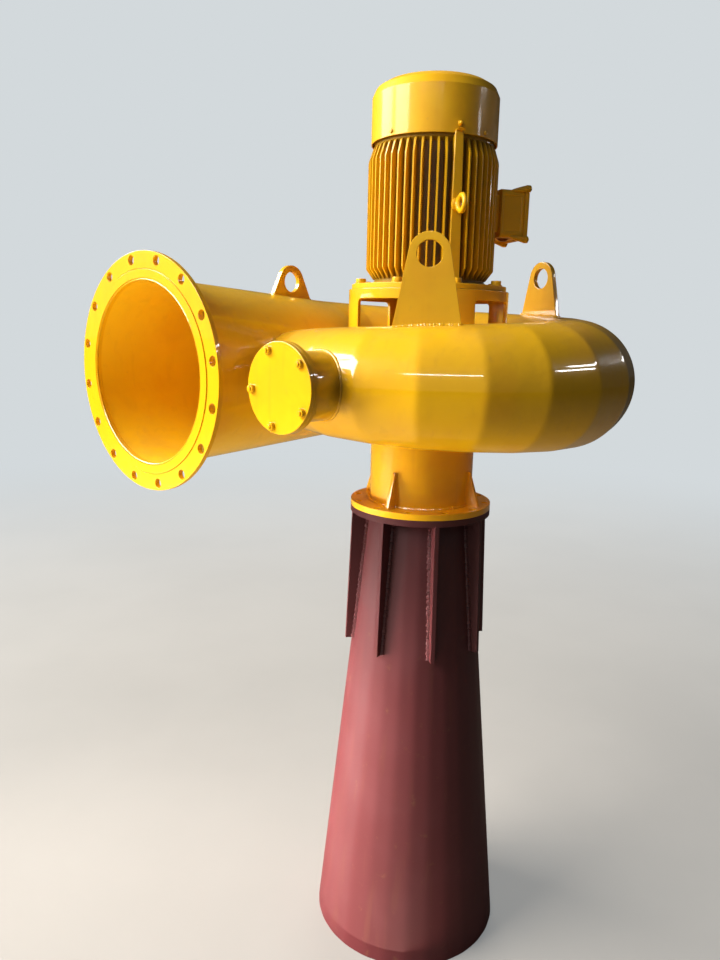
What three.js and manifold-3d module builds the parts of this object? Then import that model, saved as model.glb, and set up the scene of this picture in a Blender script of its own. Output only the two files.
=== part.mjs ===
// A vertical axial-flow micro hydro turbine set with a spiral casing, in millimetres, +Z up.
// Water enters the side flange, circles the spiral casing, and falls through the throat and the
// draft cone. The generator stands on a windowed stand over the casing.
import * as THREE from "three";
import { mergeVertices } from "three/addons/utils/BufferGeometryUtils.js";
import Module from "manifold-3d";

const wasm = await Module();
wasm.setup();

// Heights are above the floor, and radii are from the upright axis of the machine.
const seatGap = 0.3; // between pieces that touch
const cutMargin = 2; // how far a cutter runs past the face that it cuts
const fine = 40; // sides of the large round pieces
const round = 32; // sides of the tubes
const small = 16; // sides of the small round pieces

const draft = {
  mouthRadius: 259,
  throatRadius: 141,
  height: 1210,
  wall: 7,
  flangeRadius: 187.5,
  flangeBore: 134,
  flangeThickness: 16.2,
  finCount: 8,
  firstFinAngle: 6,
  finThickness: 12,
  finBottom: 851,
  finReachTop: 185,
  finReachBottom: 197,
};

const throat = {
  radius: 136.5,
  wall: 8,
  flangeRadius: 187.5,
  flangeThickness: 16.2,
  gussetCount: 4,
  firstGussetAngle: 8,
  gussetFoot: 170,
  gussetToe: 6,
  gussetCrest: 8,
  gussetHeight: 90,
  gussetThickness: 9,
};

const casing = {
  height: 1568,
  innerRadius: 211,
  inletReach: 605,
  reachLostPerDegree: 0.536,
  strakeAngle: 16.8,
  strakesPerPiece: 2,
  pieces: 8,
  tailStrakes: 4,
  wall: 8,
};

const inlet = {
  flangeFace: -583,
  flangeThickness: 12,
  raisedFace: 2,
  raisedRadius: 243,
  flangeRadius: 284.75,
  bore: 218,
  centreY: 405,
  centreHeight: 1573,
  pipeRadius: 227,
  holes: 16,
  firstHoleAngle: 9,
  holeCircle: 267,
  holeRadius: 12,
  holeSides: 12,
};

const handHole = {
  coverFace: -556,
  centreY: -42.4,
  height: 1568,
  coverRadius: 95.9,
  coverThickness: 10,
  flangeThickness: 12,
  neckRadius: 75.5,
  neckWall: 6.5,
  voidStart: 380,
  neckFoot: 415,
};

const stayRing = {
  rimRadius: 230,
  plateThickness: 12,
  halfOpening: 50,
  topBore: 150,
  clearRadius: 238,
  vanes: 6,
  vaneRadius: 200,
  vaneChord: 70,
  vaneThickness: 12,
  vaneAngle: 35,
};

const headCover = {
  spigotDepth: 20,
  flangeRadius: 188,
  flangeThickness: 14,
  bossFoot: 72,
  bossRadius: 62,
  bossShoulder: 10,
  bossTop: 1692,
};

const stand = {
  radius: 203,
  wall: 8,
  top: 1787,
  ringThickness: 12,
  ringBore: 165,
  windowBottom: 1650,
  windowTop: 1762,
  windowWidth: 139,
  windowCorner: 12,
};

const generator = {
  flangeRadius: 196,
  flangeThickness: 12,
  flangeBore: 100,
  rootRadius: 139,
  finReach: 161,
  finFoot: 7,
  finTip: 3.6,
  finPitch: 6.92,
  fins: 50,
  finStart: 1813,
  finFull: 1837,
  finShoulder: 2112,
  finEnd: 2126,
  top: 2150,
  padAngle: -122,
  padWidth: 29.8,
  padTop: 2142,
  padLipThickness: 4.6,
  shaftRadius: 24,
  fanShaftRadius: 14,
  fanShaftTop: 2205,
  cowlSeats: 4,
  cowlSeatAngle: -94,
  cowlSeatWidth: 18,
  cowlSeatBottom: 2137,
  cowlSeatTop: 2150,
};

const cowl = {
  radius: 155,
  rim: 2133,
  top: 2270,
  shoulder: 38,
  wall: 3,
  slotRings: 3,
  firstSlotRadius: 34,
  slotWidth: 12,
  slotStep: 25,
  slotsPerRing: 6,
  slotAngle: 46,
};

const fan = {
  bottom: 2164,
  plate: 4,
  hubRadius: 26,
  plateRadius: 96,
  bladeRadius: 126,
  bladeTop: 2226,
  bladeRootTop: 2200,
  bladeThickness: 4,
  blades: 7,
};

const terminalBox = {
  angle: -32,
  width: 110,
  height: 116,
  bottom: 1924,
  back: 166,
  depth: 63,
  corner: 8,
  lidThickness: 14,
  lidOverlap: 6,
  padWidth: 84,
  padHeight: 92,
};

const eyeBolt = {
  height: 1977,
  collarRadius: 12.5,
  collarLength: 7,
  ringRadius: 17.5,
  ringBar: 5,
  ringOffset: 25,
};

const lug = { thickness: 14, eye: 27.5, crown: 45, halfBase: 74 };
const lugs = [
  { name: "lifting_lug_front", angle: -143.35, radius: 353, base: 1699, eyeHeight: 1849 },
  { name: "lifting_lug_side", angle: -19.5, radius: 381, base: 1722, eyeHeight: 1836.5 },
];
const inletLug = { name: "lifting_lug_inlet", x: -103, base: 1752, eyeHeight: 1812 };

const shaft = { radius: 27.5, bottom: 1418, top: 1700 };
const coupling = { radius: 60, groove: 52, grooveHeight: 6, bottom: 1700, top: 1772 };

const runner = {
  hubRadius: 52,
  noseRadius: 14,
  noseEdge: 1268,
  taperRadius: 41.6,
  taperHeight: 1321,
  hubBottom: 1345,
  topRadius: 39,
  top: 1418,
  shoulder: 1400,
  bottom: 1262,
  blades: 4,
  bladeHeight: 1366,
  bladeRootRadius: 40,
  bladeReach: 126,
  rootChord: 78,
  tipChord: 150,
  rootAngle: 48,
  tipAngle: 22,
  bladeThickness: 9,
};

const paint = (color, roughness) => new THREE.MeshStandardMaterial({ color, roughness, metalness: 0 });
const yellow = paint(0xf2b90c, 0.25);
const primer = paint(0x6b2f2a, 0.85);
const steel = new THREE.MeshStandardMaterial({ color: 0x8b8d90, roughness: 0.45, metalness: 0.9 });

const radians = THREE.MathUtils.degToRad;
const machine = new THREE.Group();

// Corners and faces of a mesh become a solid that faces outwards.
function solidOf(geometry) {
  const bare = new THREE.BufferGeometry();
  bare.setAttribute("position", geometry.getAttribute("position"));
  bare.setIndex(geometry.index);
  const welded = mergeVertices(bare, 1e-3);
  const faces = [];
  for (let i = 0; i < welded.index.count; i += 3) {
    const [a, b, c] = [0, 1, 2].map((step) => welded.index.getX(i + step));
    if (a !== b && b !== c && c !== a) faces.push([a, b, c]);
  }
  const build = (corners) =>
    new wasm.Manifold(
      new wasm.Mesh({
        numProp: 3,
        vertProperties: welded.getAttribute("position").array,
        triVerts: new Uint32Array(corners.flat()),
      }),
    );
  const solid = build(faces);
  return solid.volume() > 0 ? solid : build(faces.map(([a, b, c]) => [a, c, b]));
}

function addPiece(name, solid, material) {
  const body = solid.getMesh();
  const geometry = new THREE.BufferGeometry();
  geometry.setAttribute("position", new THREE.BufferAttribute(body.vertProperties, 3));
  geometry.setIndex(new THREE.BufferAttribute(body.triVerts, 1));
  geometry.computeVertexNormals();
  const mesh = new THREE.Mesh(geometry, material);
  mesh.name = name;
  machine.add(mesh);
}

// A profile of [radius, height] pairs, turned about the upright axis.
function turnedShape(profile, sides) {
  const outline = profile.map(([radius, height]) => new THREE.Vector2(radius, height));
  const last = outline[outline.length - 1];
  if (outline[0].x > 0 || last.x > 0) outline.push(outline[0].clone());
  return new THREE.LatheGeometry(outline, sides).rotateX(Math.PI / 2);
}

const turned = (profile, sides = fine) => solidOf(turnedShape(profile, sides));

// A ring of rectangular section.
const ringProfile = (inner, outer, bottom, top) => [
  [inner, bottom],
  [outer, bottom],
  [outer, top],
  [inner, top],
];
const ring = (inner, outer, bottom, top, sides) => turned(ringProfile(inner, outer, bottom, top), sides);

function plate(shape, thickness) {
  return new THREE.ExtrudeGeometry(shape, { depth: thickness, bevelEnabled: false, curveSegments: 2 });
}

function roundedRectangle(width, height, corner) {
  const shape = new THREE.Shape();
  const [x, y] = [width / 2 - corner, height / 2 - corner];
  shape.absarc(x, y, corner, 0, Math.PI / 2);
  shape.absarc(-x, y, corner, Math.PI / 2, Math.PI);
  shape.absarc(-x, -y, corner, Math.PI, 1.5 * Math.PI);
  shape.absarc(x, -y, corner, 1.5 * Math.PI, 2 * Math.PI);
  shape.closePath();
  return shape;
}

// What was drawn upright and thickened along +Z now faces outwards at that angle.
function facing(geometry, angle, origin) {
  const a = radians(angle);
  const across = new THREE.Vector3(-Math.sin(a), Math.cos(a), 0);
  const up = new THREE.Vector3(0, 0, 1);
  const outwards = new THREE.Vector3(Math.cos(a), Math.sin(a), 0);
  const turn = new THREE.Matrix4().makeBasis(across, up, outwards).setPosition(origin);
  return geometry.applyMatrix4(turn);
}

const polar = (angle, radius, height) =>
  new THREE.Vector3(radius * Math.cos(radians(angle)), radius * Math.sin(radians(angle)), height);

// A plate that stands upright along a radius. Its outline is [radius, height] pairs.
function radialPlate(outline, thickness, angle) {
  const shape = new THREE.Shape(outline.map(([x, y]) => new THREE.Vector2(x, y)));
  const geometry = plate(shape, thickness).translate(0, 0, -thickness / 2);
  return solidOf(geometry.rotateX(Math.PI / 2).rotateZ(radians(angle)));
}

// A skin over closed rings of points, with its two ends closed to their middles.
function loft(rings) {
  const count = rings[0].length;
  const points = rings.flat();
  const faces = [];
  for (let row = 0; row + 1 < rings.length; row++) {
    for (let i = 0; i < count; i++) {
      const next = (i + 1) % count;
      const [a, b] = [row * count + i, row * count + next];
      faces.push(a, b, b + count, a, b + count, a + count);
    }
  }
  const close = (start, flip) => {
    const middle = new THREE.Vector3();
    points.slice(start, start + count).forEach((point) => middle.addScaledVector(point, 1 / count));
    const centre = points.push(middle) - 1;
    for (let i = 0; i < count; i++) {
      const [a, b] = [start + i, start + ((i + 1) % count)];
      faces.push(centre, flip ? b : a, flip ? a : b);
    }
  };
  close(0, true);
  close((rings.length - 1) * count, false);
  const geometry = new THREE.BufferGeometry().setFromPoints(points);
  geometry.setIndex(faces);
  return solidOf(geometry);
}

// Spiral casing: straight strakes between circles that shrink as the water circles the axis.
function casingRing(swept, inset) {
  const reach = casing.inletReach - casing.reachLostPerDegree * swept;
  const middle = (casing.innerRadius + reach) / 2;
  const radius = (reach - casing.innerRadius) / 2 - inset;
  return Array.from({ length: round }, (_, i) => {
    const turn = (2 * Math.PI * i) / round;
    return polar(90 - swept, middle + radius * Math.cos(turn), casing.height + radius * Math.sin(turn));
  });
}

function casingTube(from, to, inset) {
  const seams = [from];
  for (let seam = 0; seam < to; seam += casing.strakeAngle) if (seam > from && seam < to) seams.push(seam);
  seams.push(to);
  return loft(seams.map((swept) => casingRing(swept, inset)));
}

function inletRing(x, radius, y, height) {
  return Array.from({ length: round }, (_, i) => {
    const turn = (2 * Math.PI * i) / round;
    return new THREE.Vector3(x, y + radius * Math.cos(turn), height + radius * Math.sin(turn));
  });
}

// The tapered pipe between the inlet flange and the first strake, run on at its ends by the margin.
const pipeStart = inlet.flangeFace + inlet.flangeThickness + inlet.raisedFace + seatGap;
const strakeRadius = (casing.inletReach - casing.innerRadius) / 2;
const strakeY = (casing.inletReach + casing.innerRadius) / 2;
function inletTube(inset, margin) {
  const mix = (strakeEnd, flangeEnd, x) => strakeEnd + ((flangeEnd - strakeEnd) * x) / pipeStart;
  const at = (x) =>
    inletRing(
      x,
      mix(strakeRadius, inlet.pipeRadius, x) - inset,
      mix(strakeY, inlet.centreY, x),
      mix(casing.height, inlet.centreHeight, x),
    );
  return loft([at(pipeStart - margin), at(-seatGap / 2 + margin)]);
}

const plateTop = casing.height + stayRing.halfOpening + stayRing.plateThickness;
const plateBottom = casing.height - stayRing.halfOpening - stayRing.plateThickness;
const openTop = casing.height + stayRing.halfOpening;
const openBottom = casing.height - stayRing.halfOpening;

// The space that the stay ring and its waterway take out of the casing's inner side.
const rimClear = stayRing.rimRadius + seatGap;
const stayRingSpace = turned([
  [0, plateBottom - seatGap],
  [rimClear, plateBottom - seatGap],
  [rimClear, openBottom + seatGap],
  [stayRing.clearRadius, openBottom + seatGap],
  [stayRing.clearRadius, openTop - seatGap],
  [rimClear, openTop - seatGap],
  [rimClear, plateTop + seatGap],
  [0, plateTop + seatGap],
]);

// A profile turned about a level axis along -X, at that place.
const along = (profile, sides, y, height) =>
  solidOf(facing(turnedShape(profile, sides), 180, new THREE.Vector3(0, y, height)));

const neckInner = handHole.neckRadius - handHole.neckWall;
const neckStart = -handHole.coverFace - handHole.coverThickness - handHole.flangeThickness - 2 * seatGap;
const disc = (radius, from, to) => [
  [0, from],
  [radius, from],
  [radius, to],
  [0, to],
];
const handHoleSolid = (profile) => along(profile, round, handHole.centreY, handHole.height);
const neckVoid = handHoleSolid(disc(neckInner, handHole.voidStart, neckStart + cutMargin));

// Casing pieces of two welded strakes each, then the tail that ends on the inlet pipe.
const pieceAngle = casing.strakeAngle * casing.strakesPerPiece;
const gapAngle = THREE.MathUtils.radToDeg(seatGap / strakeY);
for (let piece = 0; piece < casing.pieces; piece++) {
  const [from, to] = [piece * pieceAngle, (piece + 1) * pieceAngle];
  const shell = casingTube(from + gapAngle / 2, to - gapAngle / 2, 0)
    .subtract(casingTube(from - 1, to + 1, casing.wall))
    .subtract(stayRingSpace)
    .subtract(neckVoid);
  addPiece("casing_strakes_" + (piece + 1), shell, yellow);
}
const tailStart = casing.pieces * pieceAngle;
const tailEnd = tailStart + casing.tailStrakes * casing.strakeAngle;
const tail = casingTube(tailStart + gapAngle / 2, tailEnd, 0)
  .subtract(casingTube(tailStart - 1, tailEnd + 1, casing.wall))
  .subtract(stayRingSpace)
  .subtract(neckVoid)
  .subtract(inletTube(-seatGap, 1));
addPiece("casing_tail", tail, yellow);

// Inlet pipe and its drilled flange.
const inletPipe = inletTube(0, 0).subtract(inletTube(casing.wall, cutMargin)).subtract(stayRingSpace);
addPiece("inlet_pipe", inletPipe, yellow);

const faceDistance = -inlet.flangeFace;
const flangeFront = faceDistance - inlet.raisedFace;
const flangeBack = flangeFront - inlet.flangeThickness;
const flangeProfile = [
  [inlet.bore, flangeBack],
  [inlet.flangeRadius, flangeBack],
  [inlet.flangeRadius, flangeFront],
  [inlet.raisedRadius, flangeFront],
  [inlet.raisedRadius, faceDistance],
  [inlet.bore, faceDistance],
];
// The holes are counted upwards from the side nearest the machine's axis.
let inletFlange = along(flangeProfile, fine, inlet.centreY, inlet.centreHeight);
for (let hole = 0; hole < inlet.holes; hole++) {
  const turn = radians(inlet.firstHoleAngle + (hole * 360) / inlet.holes);
  const drill = turnedShape(disc(inlet.holeRadius, flangeBack - cutMargin, faceDistance), inlet.holeSides);
  drill.translate(inlet.holeCircle * Math.cos(turn), inlet.holeCircle * Math.sin(turn), 0);
  const place = new THREE.Vector3(0, inlet.centreY, inlet.centreHeight);
  inletFlange = inletFlange.subtract(solidOf(facing(drill, 180, place)));
}
addPiece("inlet_flange", inletFlange, yellow);

// Hand hole on the casing's outer side: neck, flange and blind cover.
const neckSeat = casingTube(tailStart - 2 * pieceAngle, tailStart + casing.strakeAngle, -seatGap);
const neck = handHoleSolid(ringProfile(neckInner, handHole.neckRadius, handHole.neckFoot, neckStart));
addPiece("hand_hole_neck", neck.subtract(neckSeat), yellow);
const handFlangeBack = neckStart + seatGap;
const handFlangeFront = handFlangeBack + handHole.flangeThickness;
const handFlange = ringProfile(neckInner, handHole.coverRadius, handFlangeBack, handFlangeFront);
addPiece("hand_hole_flange", handHoleSolid(handFlange), yellow);
const coverBack = handFlangeFront + seatGap;
const cover = disc(handHole.coverRadius, coverBack, -handHole.coverFace);
addPiece("hand_hole_cover", handHoleSolid(cover), yellow);

// Stay ring: two plates with curved vanes between them.
addPiece("stay_ring_top", ring(stayRing.topBore, stayRing.rimRadius, openTop, plateTop), yellow);
const throatBore = throat.radius - throat.wall;
addPiece("stay_ring_bottom", ring(throatBore, stayRing.rimRadius, plateBottom, openBottom), yellow);
function addStayVane(index) {
  const half = stayRing.vaneChord / 2;
  const shape = new THREE.Shape();
  shape.moveTo(-half, 0);
  shape.quadraticCurveTo(0, stayRing.vaneThickness, half, 0);
  shape.quadraticCurveTo(0, -stayRing.vaneThickness, -half, 0);
  const blade = plate(shape, 2 * stayRing.halfOpening - 2 * seatGap);
  blade.rotateZ(radians(stayRing.vaneAngle)).translate(stayRing.vaneRadius, 0, openBottom + seatGap);
  blade.rotateZ((2 * Math.PI * index) / stayRing.vanes);
  addPiece("stay_vane_" + (index + 1), solidOf(blade), yellow);
}
for (let vane = 0; vane < stayRing.vanes; vane++) addStayVane(vane);

// Head cover: closes the stay ring and guides the shaft.
const shaftBore = shaft.radius + seatGap;
const spigot = stayRing.topBore - seatGap;
const headBottom = plateTop - headCover.spigotDepth;
const headSeat = plateTop + seatGap;
const headProfile = [
  [shaftBore, headBottom],
  [spigot, headBottom],
  [spigot, headSeat],
  [headCover.flangeRadius, headSeat],
  [headCover.flangeRadius, headSeat + headCover.flangeThickness],
  [headCover.bossFoot, headSeat + headCover.flangeThickness],
  [headCover.bossRadius, headSeat + headCover.flangeThickness + headCover.bossShoulder],
  [headCover.bossRadius, headCover.bossTop],
  [shaftBore, headCover.bossTop],
];
addPiece("head_cover", turned(headProfile), yellow);

// Stand: a pipe with four windows and a ring inside its top. The pipe is parted level with
// the ends of the windows' rounded corners, into a foot, a crown and the columns between.
const ringBottom = stand.top - stand.ringThickness;
let standPipe = ring(stand.radius - stand.wall, stand.radius, headSeat, ringBottom - seatGap);
const windowHeight = stand.windowTop - stand.windowBottom;
for (const angle of [0, 90]) {
  const outline = roundedRectangle(stand.windowWidth, windowHeight, stand.windowCorner);
  const opening = plate(outline, 3 * stand.radius);
  const middle = polar(angle, -1.5 * stand.radius, (stand.windowTop + stand.windowBottom) / 2);
  standPipe = standPipe.subtract(solidOf(facing(opening, angle, middle)));
}
const footTop = stand.windowBottom + stand.windowCorner;
const crownBottom = stand.windowTop - stand.windowCorner;
const standLevels = (bottom, top) =>
  standPipe.intersect(ring(stand.ringBore, stand.radius + cutMargin, bottom, top));
addPiece("stand_foot", standLevels(headSeat, footTop), yellow);
addPiece("stand_crown", standLevels(crownBottom, ringBottom - seatGap), yellow);
const columns = standLevels(footTop + seatGap, crownBottom - seatGap).decompose();
columns.forEach((column, index) => addPiece(`stand_column_${index + 1}`, column, yellow));
addPiece("stand_top_ring", ring(stand.ringBore, stand.radius, ringBottom, stand.top), yellow);

// Generator: flange, finned frame with its shaft ends, cowl and fan.
const flangeBottom = stand.top + seatGap;
const flangeTop = flangeBottom + generator.flangeThickness;
const generatorFlange = ring(generator.flangeBore, generator.flangeRadius, flangeBottom, flangeTop);
addPiece("generator_flange", generatorFlange, yellow);

// One level of the finned frame, with the fins spread evenly on both sides of the eye bolt's pad.
function frameRing(height, reach) {
  const degrees = (width, radius) => THREE.MathUtils.radToDeg(width / 2 / radius);
  const foot = degrees(generator.finFoot, generator.rootRadius);
  const tip = degrees(generator.finTip, generator.finReach);
  const first = generator.padAngle + (360 - (generator.fins - 1) * generator.finPitch) / 2;
  const angles = Array.from({ length: generator.fins }, (_, fin) => first + fin * generator.finPitch);
  return angles.flatMap((angle) => [
    polar(angle - foot, generator.rootRadius, height),
    polar(angle - tip, reach, height),
    polar(angle + tip, reach, height),
    polar(angle + foot, generator.rootRadius, height),
  ]);
}

// A block that faces outwards at that angle, from one radius to another.
function radialBlock(width, bottom, top, inner, outer, angle) {
  const block = new THREE.BoxGeometry(width, top - bottom, outer - inner);
  return solidOf(facing(block, angle, polar(angle, (inner + outer) / 2, (bottom + top) / 2)));
}

const bareFrame = generator.rootRadius + 1;
const bury = 8; // how far a block reaches into the frame that it stands on
const frameBottom = flangeTop + seatGap;
const seatReach = cowl.radius - cowl.wall - seatGap;
let frame = loft([
  frameRing(generator.finStart, bareFrame),
  frameRing(generator.finFull, generator.finReach),
  frameRing(generator.finShoulder, generator.finReach),
  frameRing(generator.finEnd, bareFrame),
]);
frame = frame
  .add(turned(disc(generator.rootRadius, frameBottom, generator.finStart + 1)))
  .add(turned(disc(generator.rootRadius, generator.finEnd - 1, generator.top)))
  .add(turned(disc(generator.shaftRadius, coupling.top + seatGap, generator.top - 1), small))
  .add(turned(disc(generator.fanShaftRadius, generator.top - 1, generator.fanShaftTop), small));
const box = terminalBox;
const boxMiddle = box.bottom + box.height / 2;
const padShape = roundedRectangle(box.padWidth, box.padHeight, box.corner);
const padDepth = box.back - seatGap - generator.rootRadius + bury;
const padPlace = polar(box.angle, box.back - seatGap - padDepth, boxMiddle);
frame = frame.add(solidOf(facing(plate(padShape, padDepth), box.angle, padPlace)));
for (let seat = 0; seat < generator.cowlSeats; seat++) {
  const angle = generator.cowlSeatAngle + (360 * seat) / generator.cowlSeats;
  const [bottom, top] = [generator.cowlSeatBottom, generator.cowlSeatTop];
  const reach = seatReach - 1;
  frame = frame.add(
    radialBlock(generator.cowlSeatWidth, bottom, top, generator.rootRadius - bury, reach, angle),
  );
}

// The eye bolt's pad: a strip up the whole frame, with a lip in front of the cowl's rim.
const padBody = radialBlock(
  generator.padWidth,
  frameBottom,
  cowl.rim - 1,
  generator.rootRadius - bury,
  generator.finReach,
  generator.padAngle,
);
const padLip = radialBlock(
  generator.padWidth,
  cowl.rim - 2,
  generator.padTop,
  generator.finReach - generator.padLipThickness,
  generator.finReach,
  generator.padAngle,
);
addPiece("generator_frame", frame.add(padBody).add(padLip), yellow);

function shoulderArc(radius, corner, top) {
  const steps = 4;
  return Array.from({ length: steps + 1 }, (_, i) => {
    const turn = (Math.PI / 2) * (i / steps);
    return [radius - corner + corner * Math.cos(turn), top - corner + corner * Math.sin(turn)];
  });
}
const cowlInner = cowl.radius - cowl.wall;
let fanCowl = turned([
  [cowl.radius, cowl.rim],
  ...shoulderArc(cowl.radius, cowl.shoulder, cowl.top),
  [0, cowl.top],
  [0, cowl.top - cowl.wall],
  ...shoulderArc(cowlInner, cowl.shoulder - cowl.wall, cowl.top - cowl.wall).reverse(),
  [cowlInner, cowl.rim],
]);
for (let row = 0; row < cowl.slotRings; row++) {
  const inner = cowl.firstSlotRadius + row * cowl.slotStep;
  for (let slot = 0; slot < cowl.slotsPerRing; slot++) {
    const start = radians((slot * 360) / cowl.slotsPerRing - cowl.slotAngle / 2);
    const end = start + radians(cowl.slotAngle);
    const shape = new THREE.Shape();
    shape.absarc(0, 0, inner, start, end, false);
    shape.absarc(0, 0, inner + cowl.slotWidth, end, start, true);
    shape.closePath();
    const cutter = plate(shape, 2 * cowl.wall).translate(0, 0, cowl.top - 1.5 * cowl.wall);
    fanCowl = fanCowl.subtract(solidOf(cutter));
  }
}
addPiece("fan_cowl", fanCowl, yellow);

const fanBore = generator.fanShaftRadius + seatGap;
const bladeRoot = fan.hubRadius - 2;
let fanWheel = ring(fanBore, fan.hubRadius, fan.bottom, generator.fanShaftTop, small);
fanWheel = fanWheel.add(ring(bladeRoot, fan.plateRadius, fan.bottom, fan.bottom + fan.plate, round));
for (let blade = 0; blade < fan.blades; blade++) {
  const outline = [
    [bladeRoot, fan.bottom + 1],
    [fan.bladeRadius, fan.bottom + 1],
    [fan.bladeRadius, fan.bladeTop],
    [bladeRoot, fan.bladeRootTop],
  ];
  fanWheel = fanWheel.add(radialPlate(outline, fan.bladeThickness, (360 * blade) / fan.blades));
}
addPiece("cooling_fan", fanWheel, yellow);

// Terminal box and its lid, on the frame's flat pad.
const boxShape = roundedRectangle(box.width, box.height, box.corner);
const boxPlace = polar(box.angle, box.back, boxMiddle);
addPiece("terminal_box", solidOf(facing(plate(boxShape, box.depth), box.angle, boxPlace)), yellow);
const lidShape = roundedRectangle(box.width + 2 * box.lidOverlap, box.height + 2 * box.lidOverlap, box.corner);
const lidPlace = polar(box.angle, box.back + box.depth + seatGap, boxMiddle);
addPiece("terminal_box_lid", solidOf(facing(plate(lidShape, box.lidThickness), box.angle, lidPlace)), yellow);

// Eye bolt on the frame's pad: a collar and a ring that stands upright.
const collar = turnedShape(disc(eyeBolt.collarRadius, 0, eyeBolt.collarLength + 2), small);
const eyeRing = new THREE.TorusGeometry(eyeBolt.ringRadius, eyeBolt.ringBar, 8, 18);
eyeRing.rotateY(Math.PI / 2).translate(0, 0, eyeBolt.ringOffset);
const eyePlace = polar(generator.padAngle, generator.finReach + seatGap, eyeBolt.height);
const eye = solidOf(facing(collar, generator.padAngle, eyePlace));
addPiece("eye_bolt", eye.add(solidOf(facing(eyeRing, generator.padAngle, eyePlace))), yellow);

// Lifting lugs: a plate that narrows to a round crown with one hole.
function lugShape(base, eyeHeight) {
  const rise = eyeHeight - base;
  const reach = Math.hypot(lug.halfBase, rise);
  const shape = new THREE.Shape();
  shape.moveTo(-lug.halfBase, base);
  shape.lineTo(lug.halfBase, base);
  const side = Math.atan2(-rise, lug.halfBase) + Math.acos(lug.crown / reach);
  shape.absarc(0, eyeHeight, lug.crown, side, Math.PI - side, false);
  shape.closePath();
  const hole = new THREE.Path();
  hole.absarc(0, eyeHeight, lug.eye, 0, 2 * Math.PI, true);
  shape.holes.push(hole);
  return shape;
}
function lugPlate(base, eyeHeight) {
  const settings = { depth: lug.thickness, bevelEnabled: false, curveSegments: 7 };
  return new THREE.ExtrudeGeometry(lugShape(base, eyeHeight), settings).translate(0, 0, -lug.thickness / 2);
}
for (const { name, angle, radius, base, eyeHeight } of lugs) {
  const swept = 90 - angle;
  const seat = casingTube(swept - pieceAngle, swept + pieceAngle, -seatGap);
  const blank = solidOf(facing(lugPlate(base, eyeHeight), angle, polar(angle, radius, 0)));
  addPiece(name, blank.subtract(seat), yellow);
}
const inletLugPlace = new THREE.Vector3(inletLug.x, inlet.centreY, 0);
const inletLugBlank = solidOf(facing(lugPlate(inletLug.base, inletLug.eyeHeight), 90, inletLugPlace));
addPiece(inletLug.name, inletLugBlank.subtract(inletTube(-seatGap, 0)), yellow);

// Throat: the pipe under the stay ring, its flange and its gussets.
const draftFlangeBottom = draft.height + seatGap;
const draftFlangeTop = draftFlangeBottom + draft.flangeThickness;
const throatFlangeBottom = draftFlangeTop + seatGap;
const throatFlangeTop = throatFlangeBottom + throat.flangeThickness;
const throatPipe = ring(throatBore, throat.radius, throatFlangeTop + seatGap, plateBottom - seatGap);
addPiece("throat_pipe", throatPipe, yellow);
addPiece("throat_flange", ring(throatBore, throat.flangeRadius, throatFlangeBottom, throatFlangeTop), yellow);
for (let gusset = 0; gusset < throat.gussetCount; gusset++) {
  const [foot, root] = [throatFlangeTop + seatGap, throat.radius + seatGap];
  const outline = [
    [root, foot],
    [throat.gussetFoot, foot],
    [throat.gussetFoot, foot + throat.gussetToe],
    [root + throat.gussetCrest, foot + throat.gussetHeight],
    [root, foot + throat.gussetHeight],
  ];
  const angle = throat.firstGussetAngle + (360 * gusset) / throat.gussetCount;
  addPiece("throat_gusset_" + (gusset + 1), radialPlate(outline, throat.gussetThickness, angle), yellow);
}

// Draft cone with its flange and long fins.
addPiece("draft_flange", ring(draft.flangeBore, draft.flangeRadius, draftFlangeBottom, draftFlangeTop), primer);
const coneProfile = [
  [draft.mouthRadius - draft.wall, 0],
  [draft.mouthRadius, 0],
  [draft.throatRadius, draft.height],
  [draft.throatRadius - draft.wall, draft.height],
];
addPiece("draft_cone", turned(coneProfile), primer);
const coneRadius = (height) =>
  draft.mouthRadius + ((draft.throatRadius - draft.mouthRadius) * height) / draft.height;
for (let fin = 0; fin < draft.finCount; fin++) {
  const top = draftFlangeBottom - seatGap;
  const outline = [
    [coneRadius(draft.finBottom) + seatGap, draft.finBottom],
    [draft.finReachBottom, draft.finBottom],
    [draft.finReachTop, top],
    [coneRadius(top) + seatGap, top],
  ];
  const angle = draft.firstFinAngle + (360 * fin) / draft.finCount;
  addPiece("draft_fin_" + (fin + 1), radialPlate(outline, draft.finThickness, angle), primer);
}

// Shaft line: shaft, coupling and the bladed runner in the throat.
addPiece("turbine_shaft", turned(disc(shaft.radius, shaft.bottom + seatGap, shaft.top), small), steel);
const couplingMiddle = (coupling.bottom + coupling.top) / 2;
const couplingProfile = [
  [0, coupling.bottom + seatGap],
  [coupling.radius, coupling.bottom + seatGap],
  [coupling.radius, couplingMiddle - coupling.grooveHeight / 2],
  [coupling.groove, couplingMiddle - coupling.grooveHeight / 2],
  [coupling.groove, couplingMiddle + coupling.grooveHeight / 2],
  [coupling.radius, couplingMiddle + coupling.grooveHeight / 2],
  [coupling.radius, coupling.top],
  [0, coupling.top],
];
addPiece("shaft_coupling", turned(couplingProfile, round), steel);

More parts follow.
